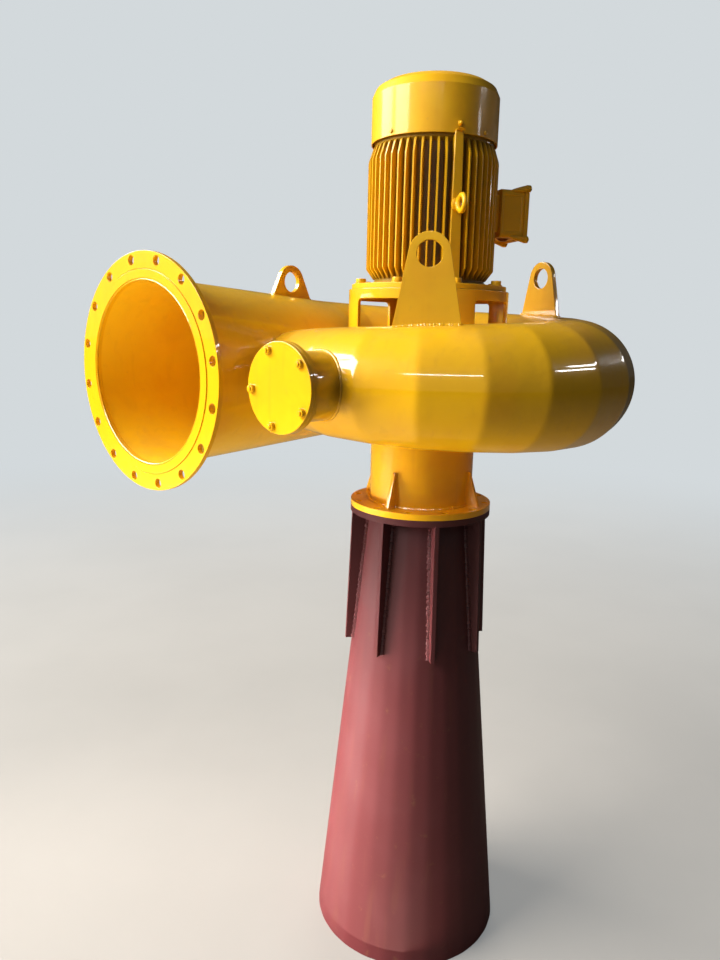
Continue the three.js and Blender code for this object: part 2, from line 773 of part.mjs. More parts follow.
// One blade: thin sections, wider and flatter towards the tip.
function runnerBlade(angle) {
  const stations = 3;
  const points = 10;
  const sections = Array.from({ length: stations + 1 }, (_, station) => {
    const share = station / stations;
    const mix = (root, tip) => root + (tip - root) * share;
    const radius = mix(runner.bladeRootRadius, runner.bladeReach);
    const chord = mix(runner.rootChord, runner.tipChord);
    const pitch = radians(mix(runner.rootAngle, runner.tipAngle));
    return Array.from({ length: points }, (_, i) => {
      const turn = (2 * Math.PI * i) / points;
      const run = (chord / 2) * Math.cos(turn);
      const rise = (runner.bladeThickness / 2) * Math.sin(turn);
      const around = run * Math.cos(pitch) - rise * Math.sin(pitch);
      const height = run * Math.sin(pitch) + rise * Math.cos(pitch);
      return polar(angle + THREE.MathUtils.radToDeg(around / radius), radius, runner.bladeHeight + height);
    });
  });
  return loft(sections);
}
let wheel = turned(
  [
    [0, runner.bottom],
    [runner.noseRadius, runner.noseEdge],
    [runner.taperRadius, runner.taperHeight],
    [runner.hubRadius, runner.hubBottom],
    [runner.hubRadius, runner.shoulder],
    [runner.topRadius, runner.top],
    [0, runner.top],
  ],
  round,
);
for (let blade = 0; blade < runner.blades; blade++) {
  wheel = wheel.add(runnerBlade((360 * blade) / runner.blades));
}
addPiece("runner", wheel, steel);

// The part's origin is under the middle of its outer box, on the floor.
const outerBox = new THREE.Box3().setFromObject(machine);
machine.position.set(-(outerBox.min.x + outerBox.max.x) / 2, -(outerBox.min.y + outerBox.max.y) / 2, 0);

const group = new THREE.Group();
group.add(machine);

export default group;
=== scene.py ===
import math

import bmesh
import bpy
from mathutils import Matrix, Vector
from mathutils.bvhtree import BVHTree


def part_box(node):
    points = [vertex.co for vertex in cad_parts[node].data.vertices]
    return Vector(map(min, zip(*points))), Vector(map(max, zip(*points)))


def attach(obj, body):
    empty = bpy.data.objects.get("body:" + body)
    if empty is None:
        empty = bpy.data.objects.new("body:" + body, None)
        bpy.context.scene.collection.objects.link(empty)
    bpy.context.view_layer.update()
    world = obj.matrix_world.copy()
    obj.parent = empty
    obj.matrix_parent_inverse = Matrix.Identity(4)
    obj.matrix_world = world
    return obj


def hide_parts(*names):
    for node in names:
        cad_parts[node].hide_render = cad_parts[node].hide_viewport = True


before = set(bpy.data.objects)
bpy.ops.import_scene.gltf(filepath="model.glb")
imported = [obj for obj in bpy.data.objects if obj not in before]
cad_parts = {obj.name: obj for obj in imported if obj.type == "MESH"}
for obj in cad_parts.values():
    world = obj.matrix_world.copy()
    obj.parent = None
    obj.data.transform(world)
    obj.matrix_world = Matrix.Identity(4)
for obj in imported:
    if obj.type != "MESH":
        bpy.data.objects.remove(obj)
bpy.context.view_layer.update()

# Sizes below are in millimetres around the machine's upright axis, which stands on the floor
# at x = y = 0. finishPiece moves each piece to its place in the frame, in metres.
shaftLow, shaftHigh = (Vector(corner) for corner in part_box("turbine_shaft"))
axisPlace = (shaftLow + shaftHigh) / 2
axisPlace.z = 0
shift = Matrix.Translation
toFrame = shift(axisPlace) @ Matrix.Scale(0.001, 4)


# The numbers of a piece or a finish. They also read as look.name.
class Look(dict):
    __getattr__ = dict.__getitem__


# Small helpers for node trees.
class Wires:
    def __init__(self, tree):
        self.tree = tree

    # Adds a node. Words with a leading underscore are its properties, the rest its inputs.
    def add(self, kind, *values, **named):
        made = self.tree.nodes.new(kind)
        for name in [name for name in named if name.startswith("_")]:
            setattr(made, name[1:], named.pop(name))
        for place, value in enumerate(values):
            self.feed(value, made.inputs[place])
        for name, value in named.items():
            self.feed(value, made.inputs[name.replace("_", " ")])
        return made

    def feed(self, value, socket):
        if isinstance(value, bpy.types.Node):
            value = value.outputs[0]
        if isinstance(value, bpy.types.NodeSocket):
            self.tree.links.new(value, socket)
        else:
            socket.default_value = value

    # Adds a node and gives one of its outputs, the first if none is named.
    def result(self, kind, *values, output=0, **named):
        return self.add(kind, *values, **named).outputs[output]

    def maths(self, operation, *values):
        return self.result("ShaderNodeMath", *values, _operation=operation)

    def plus(self, first, second):
        return self.maths("ADD", first, second)

    def times(self, first, second):
        return self.maths("MULTIPLY", first, second)

    def oneLess(self, value):
        return self.maths("SUBTRACT", 1.0, value)

    def vectors(self, operation, *values):
        return self.result("ShaderNodeVectorMath", *values, _operation=operation)

    def length(self, vector):
        return self.result("ShaderNodeVectorMath", vector, _operation="LENGTH", output="Value")

    def spot(self):
        return self.result("ShaderNodeTexCoord", output="Object")

    # Blends two colours by a factor.
    def blend(self, factor, first, second):
        made = self.add("ShaderNodeMix", _data_type="RGBA")
        for value, place in ((factor, 0), (first, 6), (second, 7)):
            self.feed(value, made.inputs[place])
        return made.outputs[2]

    # Turns a value between two limits into 0 to 1, or first to last, with soft ends.
    def fade(self, value, low, high, first=0.0, last=1.0):
        return self.result("ShaderNodeMapRange", value, low, high, first, last,
                           _interpolation_type="SMOOTHSTEP")

    def noise(self, vector, scale, detail=3.0, roughness=0.5, distortion=0.0):
        return self.result("ShaderNodeTexNoise", Vector=vector, Scale=scale, Detail=detail,
                           Roughness=roughness, Distortion=distortion)

    def stretched(self, vector, scale):
        return self.result("ShaderNodeMapping", Vector=vector, Scale=scale)


# A node group. Each input is given by its first value, or by its kind where it has none.
def newGroup(name, treeKind, inputs, outputs):
    kinds = {float: "Float", int: "Int", tuple: "Color"}
    tree = bpy.data.node_groups.new(name, treeKind)
    for way, sockets in (("INPUT", inputs), ("OUTPUT", outputs)):
        for label, value in sockets.items():
            kind = kinds.get(type(value), value)
            socket = tree.interface.new_socket(name=label, in_out=way,
                                               socket_type="NodeSocket" + kind)
            if value != kind:
                socket.default_value = value
    return (Wires(tree), tree.nodes.new("NodeGroupInput").outputs,
            tree.nodes.new("NodeGroupOutput").inputs)


def colour(hexCode):
    linear = []
    for start in (0, 2, 4):
        part = int(hexCode[start:start + 2], 16) / 255
        linear.append(part / 12.92 if part <= 0.04045 else ((part + 0.055) / 1.055) ** 2.4)
    return (*linear, 1)


# Coat that has stood in a workshop: thin and thick patches, drips, dust on what faces up.
w, ins, outs = newGroup(
    "agedCoat", "ShaderNodeTree",
    {"Colour": (0.9, 0.6, 0.02, 1), "Thin colour": (0.8, 0.45, 0.02, 1),
     "Dust colour": (0.5, 0.42, 0.3, 1), "Patchiness": 0.35, "Dust": 0.3, "Stains": 0.2,
     "Size": 9.0},
    {"Colour": "Color", "Dullness": "Float", "Dusty": "Float"})
grime, specks = (0.25, 0.12, 0.03, 1), (0.32, 0.2, 0.06, 1)
spot = w.spot()
broad = w.noise(spot, ins["Size"], 4, 0.55, 0.4)
fine = w.noise(spot, w.times(ins["Size"], 6.0), 5, 0.6)
patches = w.times(w.fade(broad, 0.42, 0.68), ins["Patchiness"])
drips = w.noise(w.stretched(spot, (38, 38, 3.2)), 1.0, 3, 0.5, 0.3)
streaks = w.times(w.fade(drips, 0.56, 0.74), ins["Stains"])
facingUp = w.result("ShaderNodeSeparateXYZ", w.result("ShaderNodeNewGeometry", output="Normal"),
                    output="Z")
dustBreak = w.fade(w.plus(broad, w.times(fine, 0.5)), 0.55, 0.95)
dusty = w.times(w.fade(facingUp, 0.35, 0.98), w.times(dustBreak, ins["Dust"]))
tone = w.blend(patches, ins["Colour"], ins["Thin colour"])
tone = w.blend(streaks, tone, w.blend(0.55, ins["Thin colour"], grime))
tone = w.blend(w.times(w.fade(fine, 0.62, 0.8), 0.16), tone, specks)
w.feed(w.blend(dusty, tone, ins["Dust colour"]), outs["Colour"])
w.feed(w.plus(patches, w.times(streaks, 0.8)), outs["Dullness"])
w.feed(dusty, outs["Dusty"])

# Relief of a coat laid on by brush: soft sags, brush lines and a fine grain.
w, ins, outs = newGroup("brushedRelief", "ShaderNodeTree",
                        {"Sag": 1.0, "Brush": 0.4, "Grain": 0.3}, {"Height": "Float"})
spot = w.spot()
sag = w.noise(spot, 14.0, 2, 0.45)
brush = w.noise(w.stretched(spot, (60, 60, 420)), 1.0, 2, 0.5, 0.6)
grain = w.noise(spot, 520.0, 2, 0.6)
dents = w.noise(spot, 44.0, 2, 0.5)
total = w.times(w.plus(sag, w.times(dents, 0.22)), ins["Sag"])
total = w.plus(total, w.times(brush, w.times(ins["Brush"], 0.05)))
w.feed(w.plus(total, w.times(grain, w.times(ins["Grain"], 0.02))), outs["Height"])

# A ragged patch of painted shade about one point, which a squash below 1 draws out along that axis.
w, ins, outs = newGroup(
    "smudge", "ShaderNodeTree",
    {"Middle": "Vector", "Squash": "Vector", "From": 0.01, "To": 0.05, "Strength": 0.5},
    {"Mask": "Float"})
spot = w.spot()
away = w.length(w.vectors("MULTIPLY", w.vectors("SUBTRACT", spot, ins["Middle"]), ins["Squash"]))
ragged = w.plus(away, w.times(w.noise(spot, 60.0, 3, 0.6), 0.02))
w.feed(w.fade(ragged, ins["From"], ins["To"], ins["Strength"], 0.0), outs["Mask"])


# A group's node, with each input set from the value of its name.
def groupNode(wires, treeName, values):
    made = wires.add("ShaderNodeGroup", _node_tree=bpy.data.node_groups[treeName])
    for socket in made.inputs:
        value = values[socket.name]
        socket.default_value = colour(value) if isinstance(value, str) else value
    return made.outputs


def newMaterial(name):
    made = bpy.data.materials.new(name)
    made.use_nodes = True
    made.node_tree.nodes.clear()
    wires = Wires(made.node_tree)
    shader = wires.add("ShaderNodeBsdfPrincipled")
    wires.add("ShaderNodeOutputMaterial", shader)
    return made, wires, shader


# One painted finish. Its look's words are the names of the inputs that they set.
def paintMaterial(name, look):
    made, wires, shader = newMaterial(name)
    coat = groupNode(wires, "agedCoat", look)
    relief = groupNode(wires, "brushedRelief", look)
    rough = wires.plus(look["Roughness"], wires.times(coat["Dullness"], look["Duller"]))
    tone, gloss = coat["Colour"], wires.oneLess(coat["Dusty"])
    # Painted shade between the ribs: the colour darkens and the coat's gloss fades towards their
    # roots.
    if "Gap" in look:
        fromAxis = wires.vectors("SUBTRACT", wires.spot(), (*axisPlace.xy, 0))
        radius = wires.length(wires.vectors("MULTIPLY", fromAxis, (1, 1, 0)))
        gap = wires.fade(radius, look["Gap from"], look["Gap to"], look["Gap"], 0.0)
        tone = wires.blend(gap, tone, colour(look["Gap shade colour"]))
        gloss = wires.times(gloss, wires.oneLess(gap))
    # A ragged patch of painted shade, blended into the colour where the look names one.
    if "Painted shade" in look:
        shadeSpot = dict(look["Painted shade"], Middle=toFrame @ Vector(look["Painted shade"]["Middle"]))
        tone = wires.blend(groupNode(wires, "smudge", shadeSpot)["Mask"], tone, colour(shadeSpot["Colour"]))
    wires.feed(tone, shader.inputs["Base Color"])
    wires.feed(wires.plus(rough, wires.times(coat["Dusty"], 0.5)), shader.inputs["Roughness"])
    wires.feed(wires.add("ShaderNodeBump", Strength=look["Bump"], Distance=look["Bump depth"],
                         Height=relief["Height"]), shader.inputs["Normal"])
    if look["Gloss"]:
        wires.feed(wires.times(gloss, look["Gloss"]), shader.inputs["Coat Weight"])
        shader.inputs["Coat Roughness"].default_value = look["Gloss roughness"]
        shader.inputs["Coat IOR"].default_value = look["Gloss IOR"]
    shader.inputs["Specular IOR Level"].default_value = look["Sheen"]
    return made


sheetLook = {
    "Colour": "e6ae0e", "Thin colour": "dc970a", "Dust colour": "c09a50", "Patchiness": 0.35,
    "Dust": 0.25, "Stains": 0.12, "Size": 7.0, "Sag": 1.0, "Brush": 0.5, "Grain": 0.4, "Bump": 0.45,
    "Bump depth": 0.004, "Roughness": 0.3, "Duller": 0.15, "Gloss": 0.8, "Gloss roughness": 0.045,
    "Gloss IOR": 1.65, "Sheen": 0.15}
# The inlet pipe has the casing's paint; this lighter, yellower copy is painted light on the pipe
# and inside it.
pipeLitLook = {**sheetLook, "Colour": "eebd1d", "Thin colour": "e3a317"}
castLook = {**sheetLook, "Size": 14.0, "Sag": 0.4, "Grain": 1.6, "Brush": 0.2, "Roughness": 0.4,
            "Gloss": 0.35, "Gloss roughness": 0.12, "Gloss IOR": 1.5, "Stains": 0.08, "Sheen": 0.2}
# Between the ribs the colour is darkened into painted shade and the gloss fades: from the roots
# outwards, in metres from the axis.
ribLook = {**castLook, "Gap shade colour": "69500f", "Gap from": 0.141, "Gap to": 0.1565, "Gap": 0.85}
primerLook = {
    "Colour": "592527", "Thin colour": "653335", "Dust colour": "a8837a", "Patchiness": 0.35,
    "Dust": 0.35, "Stains": 0.1, "Size": 6.0, "Sag": 0.35, "Brush": 0.9, "Grain": 1.8, "Bump": 0.3,
    "Bump depth": 0.003, "Roughness": 0.55, "Duller": 0.2, "Gloss": 0.0, "Sheen": 0.45}
glandLook = {**primerLook, "Colour": "8a4a32", "Thin colour": "7a3f2c", "Roughness": 0.45}
beadLook = {**sheetLook, "Grain": 3.0, "Sag": 0.2, "Bump": 0.5}
primerBeadLook = {**primerLook, "Colour": "653334", "Grain": 4.0, "Bump": 0.6}
# Painted shade patches: the middle is in millimetres, the reach in metres. The first is painted
# shade on the casing about the root of the hand hole's neck, where it is welded on. The second is
# painted shade on the primer under the flange.
neckShade = {"Middle": (-454, -119, 1560), "Squash": (1, 1, 0.55), "From": 0.012, "To": 0.05,
             "Strength": 0.6, "Colour": "5f4210"}
topShade = {"Middle": (0, 0, 1230), "Squash": (0, 0, 1), "From": 0.05, "To": 0.62,
            "Strength": 0.55, "Colour": "2e1012"}
sheetYellow = paintMaterial("sheetYellow", {**sheetLook, "Painted shade": neckShade})
pipeYellow = paintMaterial("pipeYellow", pipeLitLook)
castYellow = paintMaterial("castYellow", castLook)
ribYellow = paintMaterial("ribYellow", ribLook)
primerRed = paintMaterial("primerRed", {**primerLook, "Painted shade": topShade})
beadYellow = paintMaterial("beadYellow", {**beadLook, "Painted shade": neckShade})
beadPrimer = paintMaterial("beadPrimer", {**primerBeadLook, "Painted shade": topShade})
glandPlastic = paintMaterial("glandPlastic", glandLook)

# Turned steel with a little rust.
steelLook = Look(dark="6b6d70", light="a9abad", rust="5b3a26", rustFrom=0.6, rustTo=0.76,
                 roughness=0.28)
turnedSteel, w, shader = newMaterial("turnedSteel")
spot = w.spot()
lines = w.noise(w.stretched(spot, (12, 12, 900)), 1.0, 3, 0.6)
rusty = w.fade(w.noise(spot, 24.0, 5, 0.62, 0.5), steelLook.rustFrom, steelLook.rustTo)
tone = w.blend(w.fade(lines, 0.35, 0.7), colour(steelLook.dark), colour(steelLook.light))
rough = w.plus(w.plus(steelLook.roughness, w.times(lines, 0.18)), w.times(rusty, 0.3))
w.feed(w.blend(rusty, tone, colour(steelLook.rust)), shader.inputs["Base Color"])
w.feed(w.oneLess(rusty), shader.inputs["Metallic"])
w.feed(rough, shader.inputs["Roughness"])
w.feed(w.add("ShaderNodeBump", Strength=0.25, Distance=0.0006, Height=lines),
       shader.inputs["Normal"])

print("materials ready")


def about(axis, angle):
    return Matrix.Rotation(math.radians(angle), 4, axis)


def polar(angle, radius, height=0.0):
    turn = math.radians(angle)
    return Vector((radius * math.cos(turn), radius * math.sin(turn), height))


# Even shares of a full turn, in radians.
def turns(count):
    return [2 * math.pi * i / count for i in range(count)]


# Local x runs across, y up and z outwards, for something that faces that angle.
def facing(angle, place):
    turn = math.radians(angle)
    across = Vector((-math.sin(turn), math.cos(turn), 0))
    out = Vector((math.cos(turn), math.sin(turn), 0))
    return shift(place) @ Matrix((across, Vector((0, 0, 1)), out)).transposed().to_4x4()


# Rounds the corners of a closed outline. Each point is (x, y) or (x, y, radius).
def rounded(points, steps=3):
    result = []
    for index, point in enumerate(points):
        here = Vector(point[:2])
        radius = point[2] if len(point) > 2 else 0
        if not radius:
            result.append(here)
            continue
        before = Vector(points[index - 1][:2]) - here
        after = Vector(points[(index + 1) % len(points)][:2]) - here
        reach = radius / math.tan(before.angle(after) / 2)
        reach = min(reach, before.length * 0.49, after.length * 0.49)
        start, end = here + before.normalized() * reach, here + after.normalized() * reach
        for step in range(steps + 1):
            share = step / steps
            rest = 1 - share
            result.append(start * rest ** 2 + here * 2 * share * rest + end * share ** 2)
    return result


# Turns a closed outline of (radius, height) points about the upright axis. Points on the axis
# become single corners.
def lathe(profile, sides=128, steps=3):
    bm = bmesh.new()
    columns = []
    for point in rounded(profile, steps):
        if point.x < 1e-6:
            columns.append([bm.verts.new((0, 0, point.y))] * sides)
        else:
            columns.append([bm.verts.new(polar(360 * side / sides, point.x, point.y))
                            for side in range(sides)])
    for column, following in zip(columns, columns[1:] + columns[:1]):
        for side in range(sides):
            nextSide = (side + 1) % sides
            corners = [column[side], column[nextSide], following[nextSide], following[side]]
            unique = list(dict.fromkeys(corners))
            if len(unique) > 2:
                bm.faces.new(unique)
    return bm


# A turned disc, or a ring or tube where it has a bore, with its outer edges rounded.
def disc(bore, radius, low, high, lowEdge=0, highEdge=0, sides=128, steps=3):
    return lathe([(bore, low), (radius, low, lowEdge), (radius, high, highEdge), (bore, high)],
                 sides, steps)


def circlePoints(radius, sides, centre=(0, 0)):
    return [Vector((centre[0] + radius * math.cos(turn), centre[1] + radius * math.sin(turn)))
            for turn in turns(sides)]


# Moves an outline inwards by a distance, or outwards if the distance is negative.
def inset(outline, distance):
    count = len(outline)
    side = 1 if sum(outline[i - 1].cross(outline[i]) for i in range(count)) > 0 else -1
    result = []
    for i in range(count):
        before = (outline[i] - outline[i - 1]).normalized()
        after = (outline[(i + 1) % count] - outline[i]).normalized()
        normal = Vector((-before.y - after.y, before.x + after.x)) * side
        normal.normalize()
        lean = max(0.35, normal.dot(Vector((-before.y, before.x)) * side))
        result.append(outline[i] + normal * distance / lean)
    return result


# The mesh that an object gives.
def meshOf(source):
    mesh = bpy.data.meshes.new_from_object(source)
    bm = bmesh.new()
    bm.from_mesh(mesh)
    bpy.data.meshes.remove(mesh)
    return bm


def moved(bm, matrix):
    bmesh.ops.transform(bm, matrix=matrix, verts=bm.verts)
    if matrix.determinant() < 0:
        bmesh.ops.reverse_faces(bm, faces=bm.faces)
    return bm


# A flat plate in the xy plane, centred on z = 0, with soft edges and any number of holes.
def cutPlate(outline, thickness, edge=1.0, steps=2, holes=()):
    curve = bpy.data.curves.new("plateOutline", "CURVE")
    curve.dimensions, curve.fill_mode = "2D", "BOTH"
    curve.extrude, curve.bevel_depth = thickness / 2 - edge, edge
    curve.bevel_resolution = steps - 1
    for points in [inset(outline, edge)] + [inset(hole, -edge) for hole in holes]:
        spline = curve.splines.new("POLY")
        spline.points.add(len(points) - 1)
        for target, point in zip(spline.points, points):
            target.co = (point.x, point.y, 0, 1)
        spline.use_cyclic_u = True
    holder = bpy.data.objects.new("plateOutline", curve)
    bm = meshOf(holder)
    bmesh.ops.remove_doubles(bm, verts=bm.verts, dist=0.001)
    bpy.data.objects.remove(holder)
    bpy.data.curves.remove(curve)
    return bm


# A plate that stands upright in the xz plane, with its root moved to the axis.
upright = Matrix(((1, 0, 0, 0), (0, 0, -1, 0), (0, 1, 0, 0), (0, 0, 0, 1)))


def uprightPlate(outline, thickness, edge, root):
    plate = cutPlate(rounded(outline, 2), thickness, edge)
    return moved(plate, shift((-root, 0, 0)) @ upright)


def roundedRectangle(width, height, corner, steps=6):
    x, y = width / 2, height / 2
    return rounded([(x, -y, corner), (x, y, corner), (-x, y, corner), (-x, -y, corner)], steps)


# A skin over rows of points, each row a closed loop. A ribbon's row runs there and back, so its
# ends are closed by joining the first half to the second.
def skinOverRows(rows, ends="disc"):
    bm = bmesh.new()
    corners = [[bm.verts.new(point) for point in row] for row in rows]
    count = len(rows[0])
    for first, second in zip(corners, corners[1:]):
        for i in range(count):
            following = (i + 1) % count
            bm.faces.new((first[i], first[following], second[following], second[i]))
    for row in (corners[0], corners[-1]):
        if ends == "ribbon":
            for i in range(count // 2 - 1):
                bm.faces.new((row[i], row[i + 1], row[count - 2 - i], row[count - 1 - i]))
        elif ends == "disc":
            bm.faces.new(row)
    return bm


def prism(outline, levels):
    return skinOverRows([[Vector((*point, level)) for point in outline] for level in levels])


def joined(*parts):
    bm = parts[0]
    for part in parts[1:]:
        mesh = bpy.data.meshes.new("part")
        part.to_mesh(mesh)
        bm.from_mesh(mesh)
        bpy.data.meshes.remove(mesh)
        part.free()
    return bm


def looseObject(name, bm):
    bmesh.ops.recalc_face_normals(bm, faces=bm.faces)
    mesh = bpy.data.meshes.new(name)
    bm.to_mesh(mesh)
    bm.free()
    made = bpy.data.objects.new(name, mesh)
    bpy.context.scene.collection.objects.link(made)
    return made


def evaluated(made):
    bpy.context.view_layer.update()
    return made.evaluated_get(bpy.context.evaluated_depsgraph_get())


# The object's mesh with its modifiers done, and the object gone.
def baked(holder, extras=()):
    bm = meshOf(evaluated(holder))
    for spent in (holder, *extras):
        bpy.data.objects.remove(spent)
    return bm


def cutAway(bm, *cutters):
    blank = looseObject("blank", bm)
    tools = [looseObject("cutter", cutter) for cutter in cutters]
    for tool in tools:
        modifier = blank.modifiers.new("cut", "BOOLEAN")
        modifier.operation, modifier.solver, modifier.object = "DIFFERENCE", "EXACT", tool
    return baked(blank, tools)


# Softens the sharp edges that pass the test.
def softened(bm, width, segments, sharp=50, test=lambda edge: True):
    edges = [edge for edge in bm.edges
             if edge.is_manifold and edge.calc_face_angle(0) > math.radians(sharp) and test(edge)]
    bmesh.ops.bevel(bm, geom=edges, offset=width, segments=segments, affect="EDGES", profile=0.5,
                    clamp_overlap=True)
    return bm


def numbered(name, count):
    return ["%s_%d" % (name, number) for number in range(1, count + 1)]


mergeDistance = 0.01


# Gives a mesh its place, shading, material, body and the CAD nodes that it stands for.
# Edges sharper than the crease stay sharp.
def finishPiece(name, bm, finish, nodes=(), crease=38):
    bmesh.ops.remove_doubles(bm, verts=bm.verts, dist=mergeDistance)
    bmesh.ops.dissolve_degenerate(bm, edges=bm.edges, dist=mergeDistance / 2)
    bmesh.ops.recalc_face_normals(bm, faces=bm.faces)
    for face in bm.faces:
        face.smooth = True
        face.material_index = 0
    for edge in bm.edges:
        edge.smooth = edge.calc_face_angle(0) < math.radians(crease)
    bmesh.ops.transform(bm, matrix=toFrame, verts=bm.verts)
    mesh = bpy.data.meshes.new(name)
    bm.to_mesh(mesh)
    bm.free()
    mesh.materials.append(finish)
    made = bpy.data.objects.new(name, mesh)
    bpy.context.scene.collection.objects.link(made)
    # Large faces decide how a rounded edge is shaded, so flat plates look flat.
    evening = made.modifiers.new("evenNormals", "WEIGHTED_NORMAL")
    evening.mode, evening.weight, evening.keep_sharp = "FACE_AREA", 50, True
    even = bpy.data.meshes.new_from_object(evaluated(made))
    made.modifiers.remove(evening)
    made.data = even
    bpy.data.meshes.remove(mesh)
    even.name = name
    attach(made, "root")
    if nodes:
        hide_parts(*nodes)


# Copies of a part around the upright axis.
w, ins, outs = newGroup(
    "ringOfParts", "GeometryNodeTree",
    {"Part": "Object", "Count": 8, "First angle": 0.0, "Step": 45.0, "Circle radius": 100.0,
     "Height": 0.0, "Spin": 0.0, "Seed": 1, "Finish": "Material"},
    {"Geometry": "Geometry"})
index = w.result("GeometryNodeInputIndex")
turn = w.maths("RADIANS", w.plus(ins["First angle"], w.times(index, ins["Step"])))
place = w.result("ShaderNodeCombineXYZ", w.times(w.maths("COSINE", turn), ins["Circle radius"]),
                 w.times(w.maths("SINE", turn), ins["Circle radius"]), ins["Height"])
points = w.result("GeometryNodePoints", Count=ins["Count"], Position=place)
part = w.result("GeometryNodeObjectInfo", Object=ins["Part"], output="Geometry")
spin = w.add("FunctionNodeRandomValue", _data_type="FLOAT")
w.feed(w.times(ins["Spin"], -1.0), spin.inputs[2])
w.feed(ins["Spin"], spin.inputs[3])
w.feed(ins["Seed"], spin.inputs["Seed"])
instances = w.result("GeometryNodeInstanceOnPoints", Points=points, Instance=part,
                     Rotation=w.result("ShaderNodeCombineXYZ", 0.0, 0.0, turn))
own = w.result("ShaderNodeCombineXYZ", 0.0, 0.0, w.maths("RADIANS", spin.outputs[1]))
real = w.result("GeometryNodeRealizeInstances",
                w.result("GeometryNodeRotateInstances", Instances=instances, Rotation=own))
w.feed(w.add("GeometryNodeSetMaterial", Geometry=real, Material=ins["Finish"]), outs["Geometry"])

# A weld bead along edges: a rope of overlapping ripples with an uneven width.
w, ins, outs = newGroup(
    "weldBead", "GeometryNodeTree",
    {"Path": "Geometry", "Radius": 3.0, "Ripple": 3.0, "Depth": 0.12, "Unevenness": 0.3,
     "Spacing": 1.5, "Sides": 8, "Seed": 0.0, "Finish": "Material"},
    {"Geometry": "Geometry"})
curve = w.result("GeometryNodeResampleCurve", _mode="LENGTH", Length=ins["Spacing"],
                 Curve=w.result("GeometryNodeMeshToCurve", ins["Path"]))
along = w.result("GeometryNodeSplineParameter", output="Length")
saw = w.maths("FRACT", w.maths("DIVIDE", along, ins["Ripple"]))
wave = w.oneLess(w.times(ins["Depth"], saw))
away = w.vectors("ADD", w.result("GeometryNodeInputPosition"),
                 w.result("ShaderNodeCombineXYZ", ins["Seed"], ins["Seed"], 0.0))
lumps = w.times(w.maths("SUBTRACT", w.noise(away, 0.09, 2), 0.5), 2.0)
uneven = w.plus(1.0, w.times(lumps, ins["Unevenness"]))
profile = w.result("GeometryNodeCurvePrimitiveCircle", Resolution=ins["Sides"], Radius=1.0)
tube = w.result("GeometryNodeCurveToMesh", Curve=curve, Profile_Curve=profile, Fill_Caps=True,
                Scale=w.times(ins["Radius"], w.times(wave, uneven)))
real = w.result("GeometryNodeRealizeInstances", tube)
w.feed(w.add("GeometryNodeSetMaterial", Geometry=real, Material=ins["Finish"]), outs["Geometry"])


# Runs a tree on an object, with its inputs set by name, and gives the mesh that it makes.
def grown(holder, treeName, values, extras=()):
    modifier = holder.modifiers.new(treeName, "NODES")
    modifier.node_group = bpy.data.node_groups[treeName]
    for item in modifier.node_group.interface.items_tree:
        if item.in_out == "INPUT" and item.name in values:
            value = values[item.name]
            isFloat = item.socket_type == "NodeSocketFloat"
            modifier[item.identifier] = float(value) if isFloat else value
    return baked(holder, extras)


# Angles are in degrees, and the spin is the most that each copy may turn about its own axis.
def ringOfParts(part, finish, count, radius, first=0, step=None, height=0, spin=0, seed=1):
    source = looseObject("part", part)
    values = {"Part": source, "Count": count, "First angle": first, "Step": step or 360 / count,
              "Circle radius": radius, "Height": height, "Spin": spin, "Seed": seed,
              "Finish": finish}
    return grown(looseObject("ring", bmesh.new()), "ringOfParts", values, [source])


# A bead along each path, which is a list of points and whether they close up.
def weldBead(paths, look, seed, finish):
    bm = bmesh.new()
    for path, closed in paths:
        corners = [bm.verts.new(point) for point in path]
        for pair in zip(corners, corners[1:] + corners[:1] if closed else corners[1:]):
            bm.edges.new(pair)
    return grown(looseObject("beadPath", bm), "weldBead", {**look, "Seed": seed, "Finish": finish})


# Hexagon bolt head, standing up from z = 0, with a washer below if the washer's radius is given.
# A row is its level and how far it may reach, as shares of the height and of half the width. The
# corners of the chamfered row are drawn down.
boltLook = Look(sides=24, rows=[(0.0, 0.94), (0.06, 0.97), (0.07, 1.09), (0.82, 1.09), (1.0, 0.97)],
                chamfered=0.82, chamfer=0.45, washerSides=32, washerEdge=0.6)


def boltHead(across, height, washerRadius=0.0, washerHeight=0.0):
    flat = across / 2
    rows = []
    for level, widest in boltLook.rows:
        row = []
        for turn in turns(boltLook.sides):
            corner = (turn + math.pi / 6) % (math.pi / 3) - math.pi / 6
            reach = min(flat / math.cos(corner), flat * widest)
            lower = height * level
            if level == boltLook.chamfered:
                lower -= max(0.0, reach - flat) * boltLook.chamfer
            row.append((reach * math.cos(turn), reach * math.sin(turn), washerHeight + lower))
        rows.append(row)
    bm = skinOverRows(rows)
    if washerRadius:
        edge = min(boltLook.washerEdge, washerHeight * 0.4)
        bm = joined(bm, disc(0, washerRadius, 0, washerHeight, edge, edge,
                             boltLook.washerSides, 2))
    return bm


# The bolts that a piece's look names, each turned by chance.
def boltRing(part, look, finish, height, seed):
    return ringOfParts(part, finish, look.bolts, look.boltCircle, look.firstBolt, height=height,
                       spin=30, seed=seed)


print("helpers ready")


# Spiral casing: straight strakes between circles that shrink as the water circles the axis.
casingLook = Look(
    height=1568, innerRadius=211, reach=605, reachLost=0.536, strakeAngle=16.8, strakes=20, wall=8,
    mouth=62.3, points=96, seamBend=9, seamRows=(13, 9, 6, 3.5, 1.5), seamRadius=480, crease=32)


def casingCircle(swept):
    reach = casingLook.reach - casingLook.reachLost * swept
    return (casingLook.innerRadius + reach) / 2, (reach - casingLook.innerRadius) / 2


# A point of the circle at that angle, by a turn about the circle's middle.
def onSection(swept, middle, reach, turn):
    return polar(90 - swept, middle + reach * math.cos(turn),
                 casingLook.height + reach * math.sin(turn))


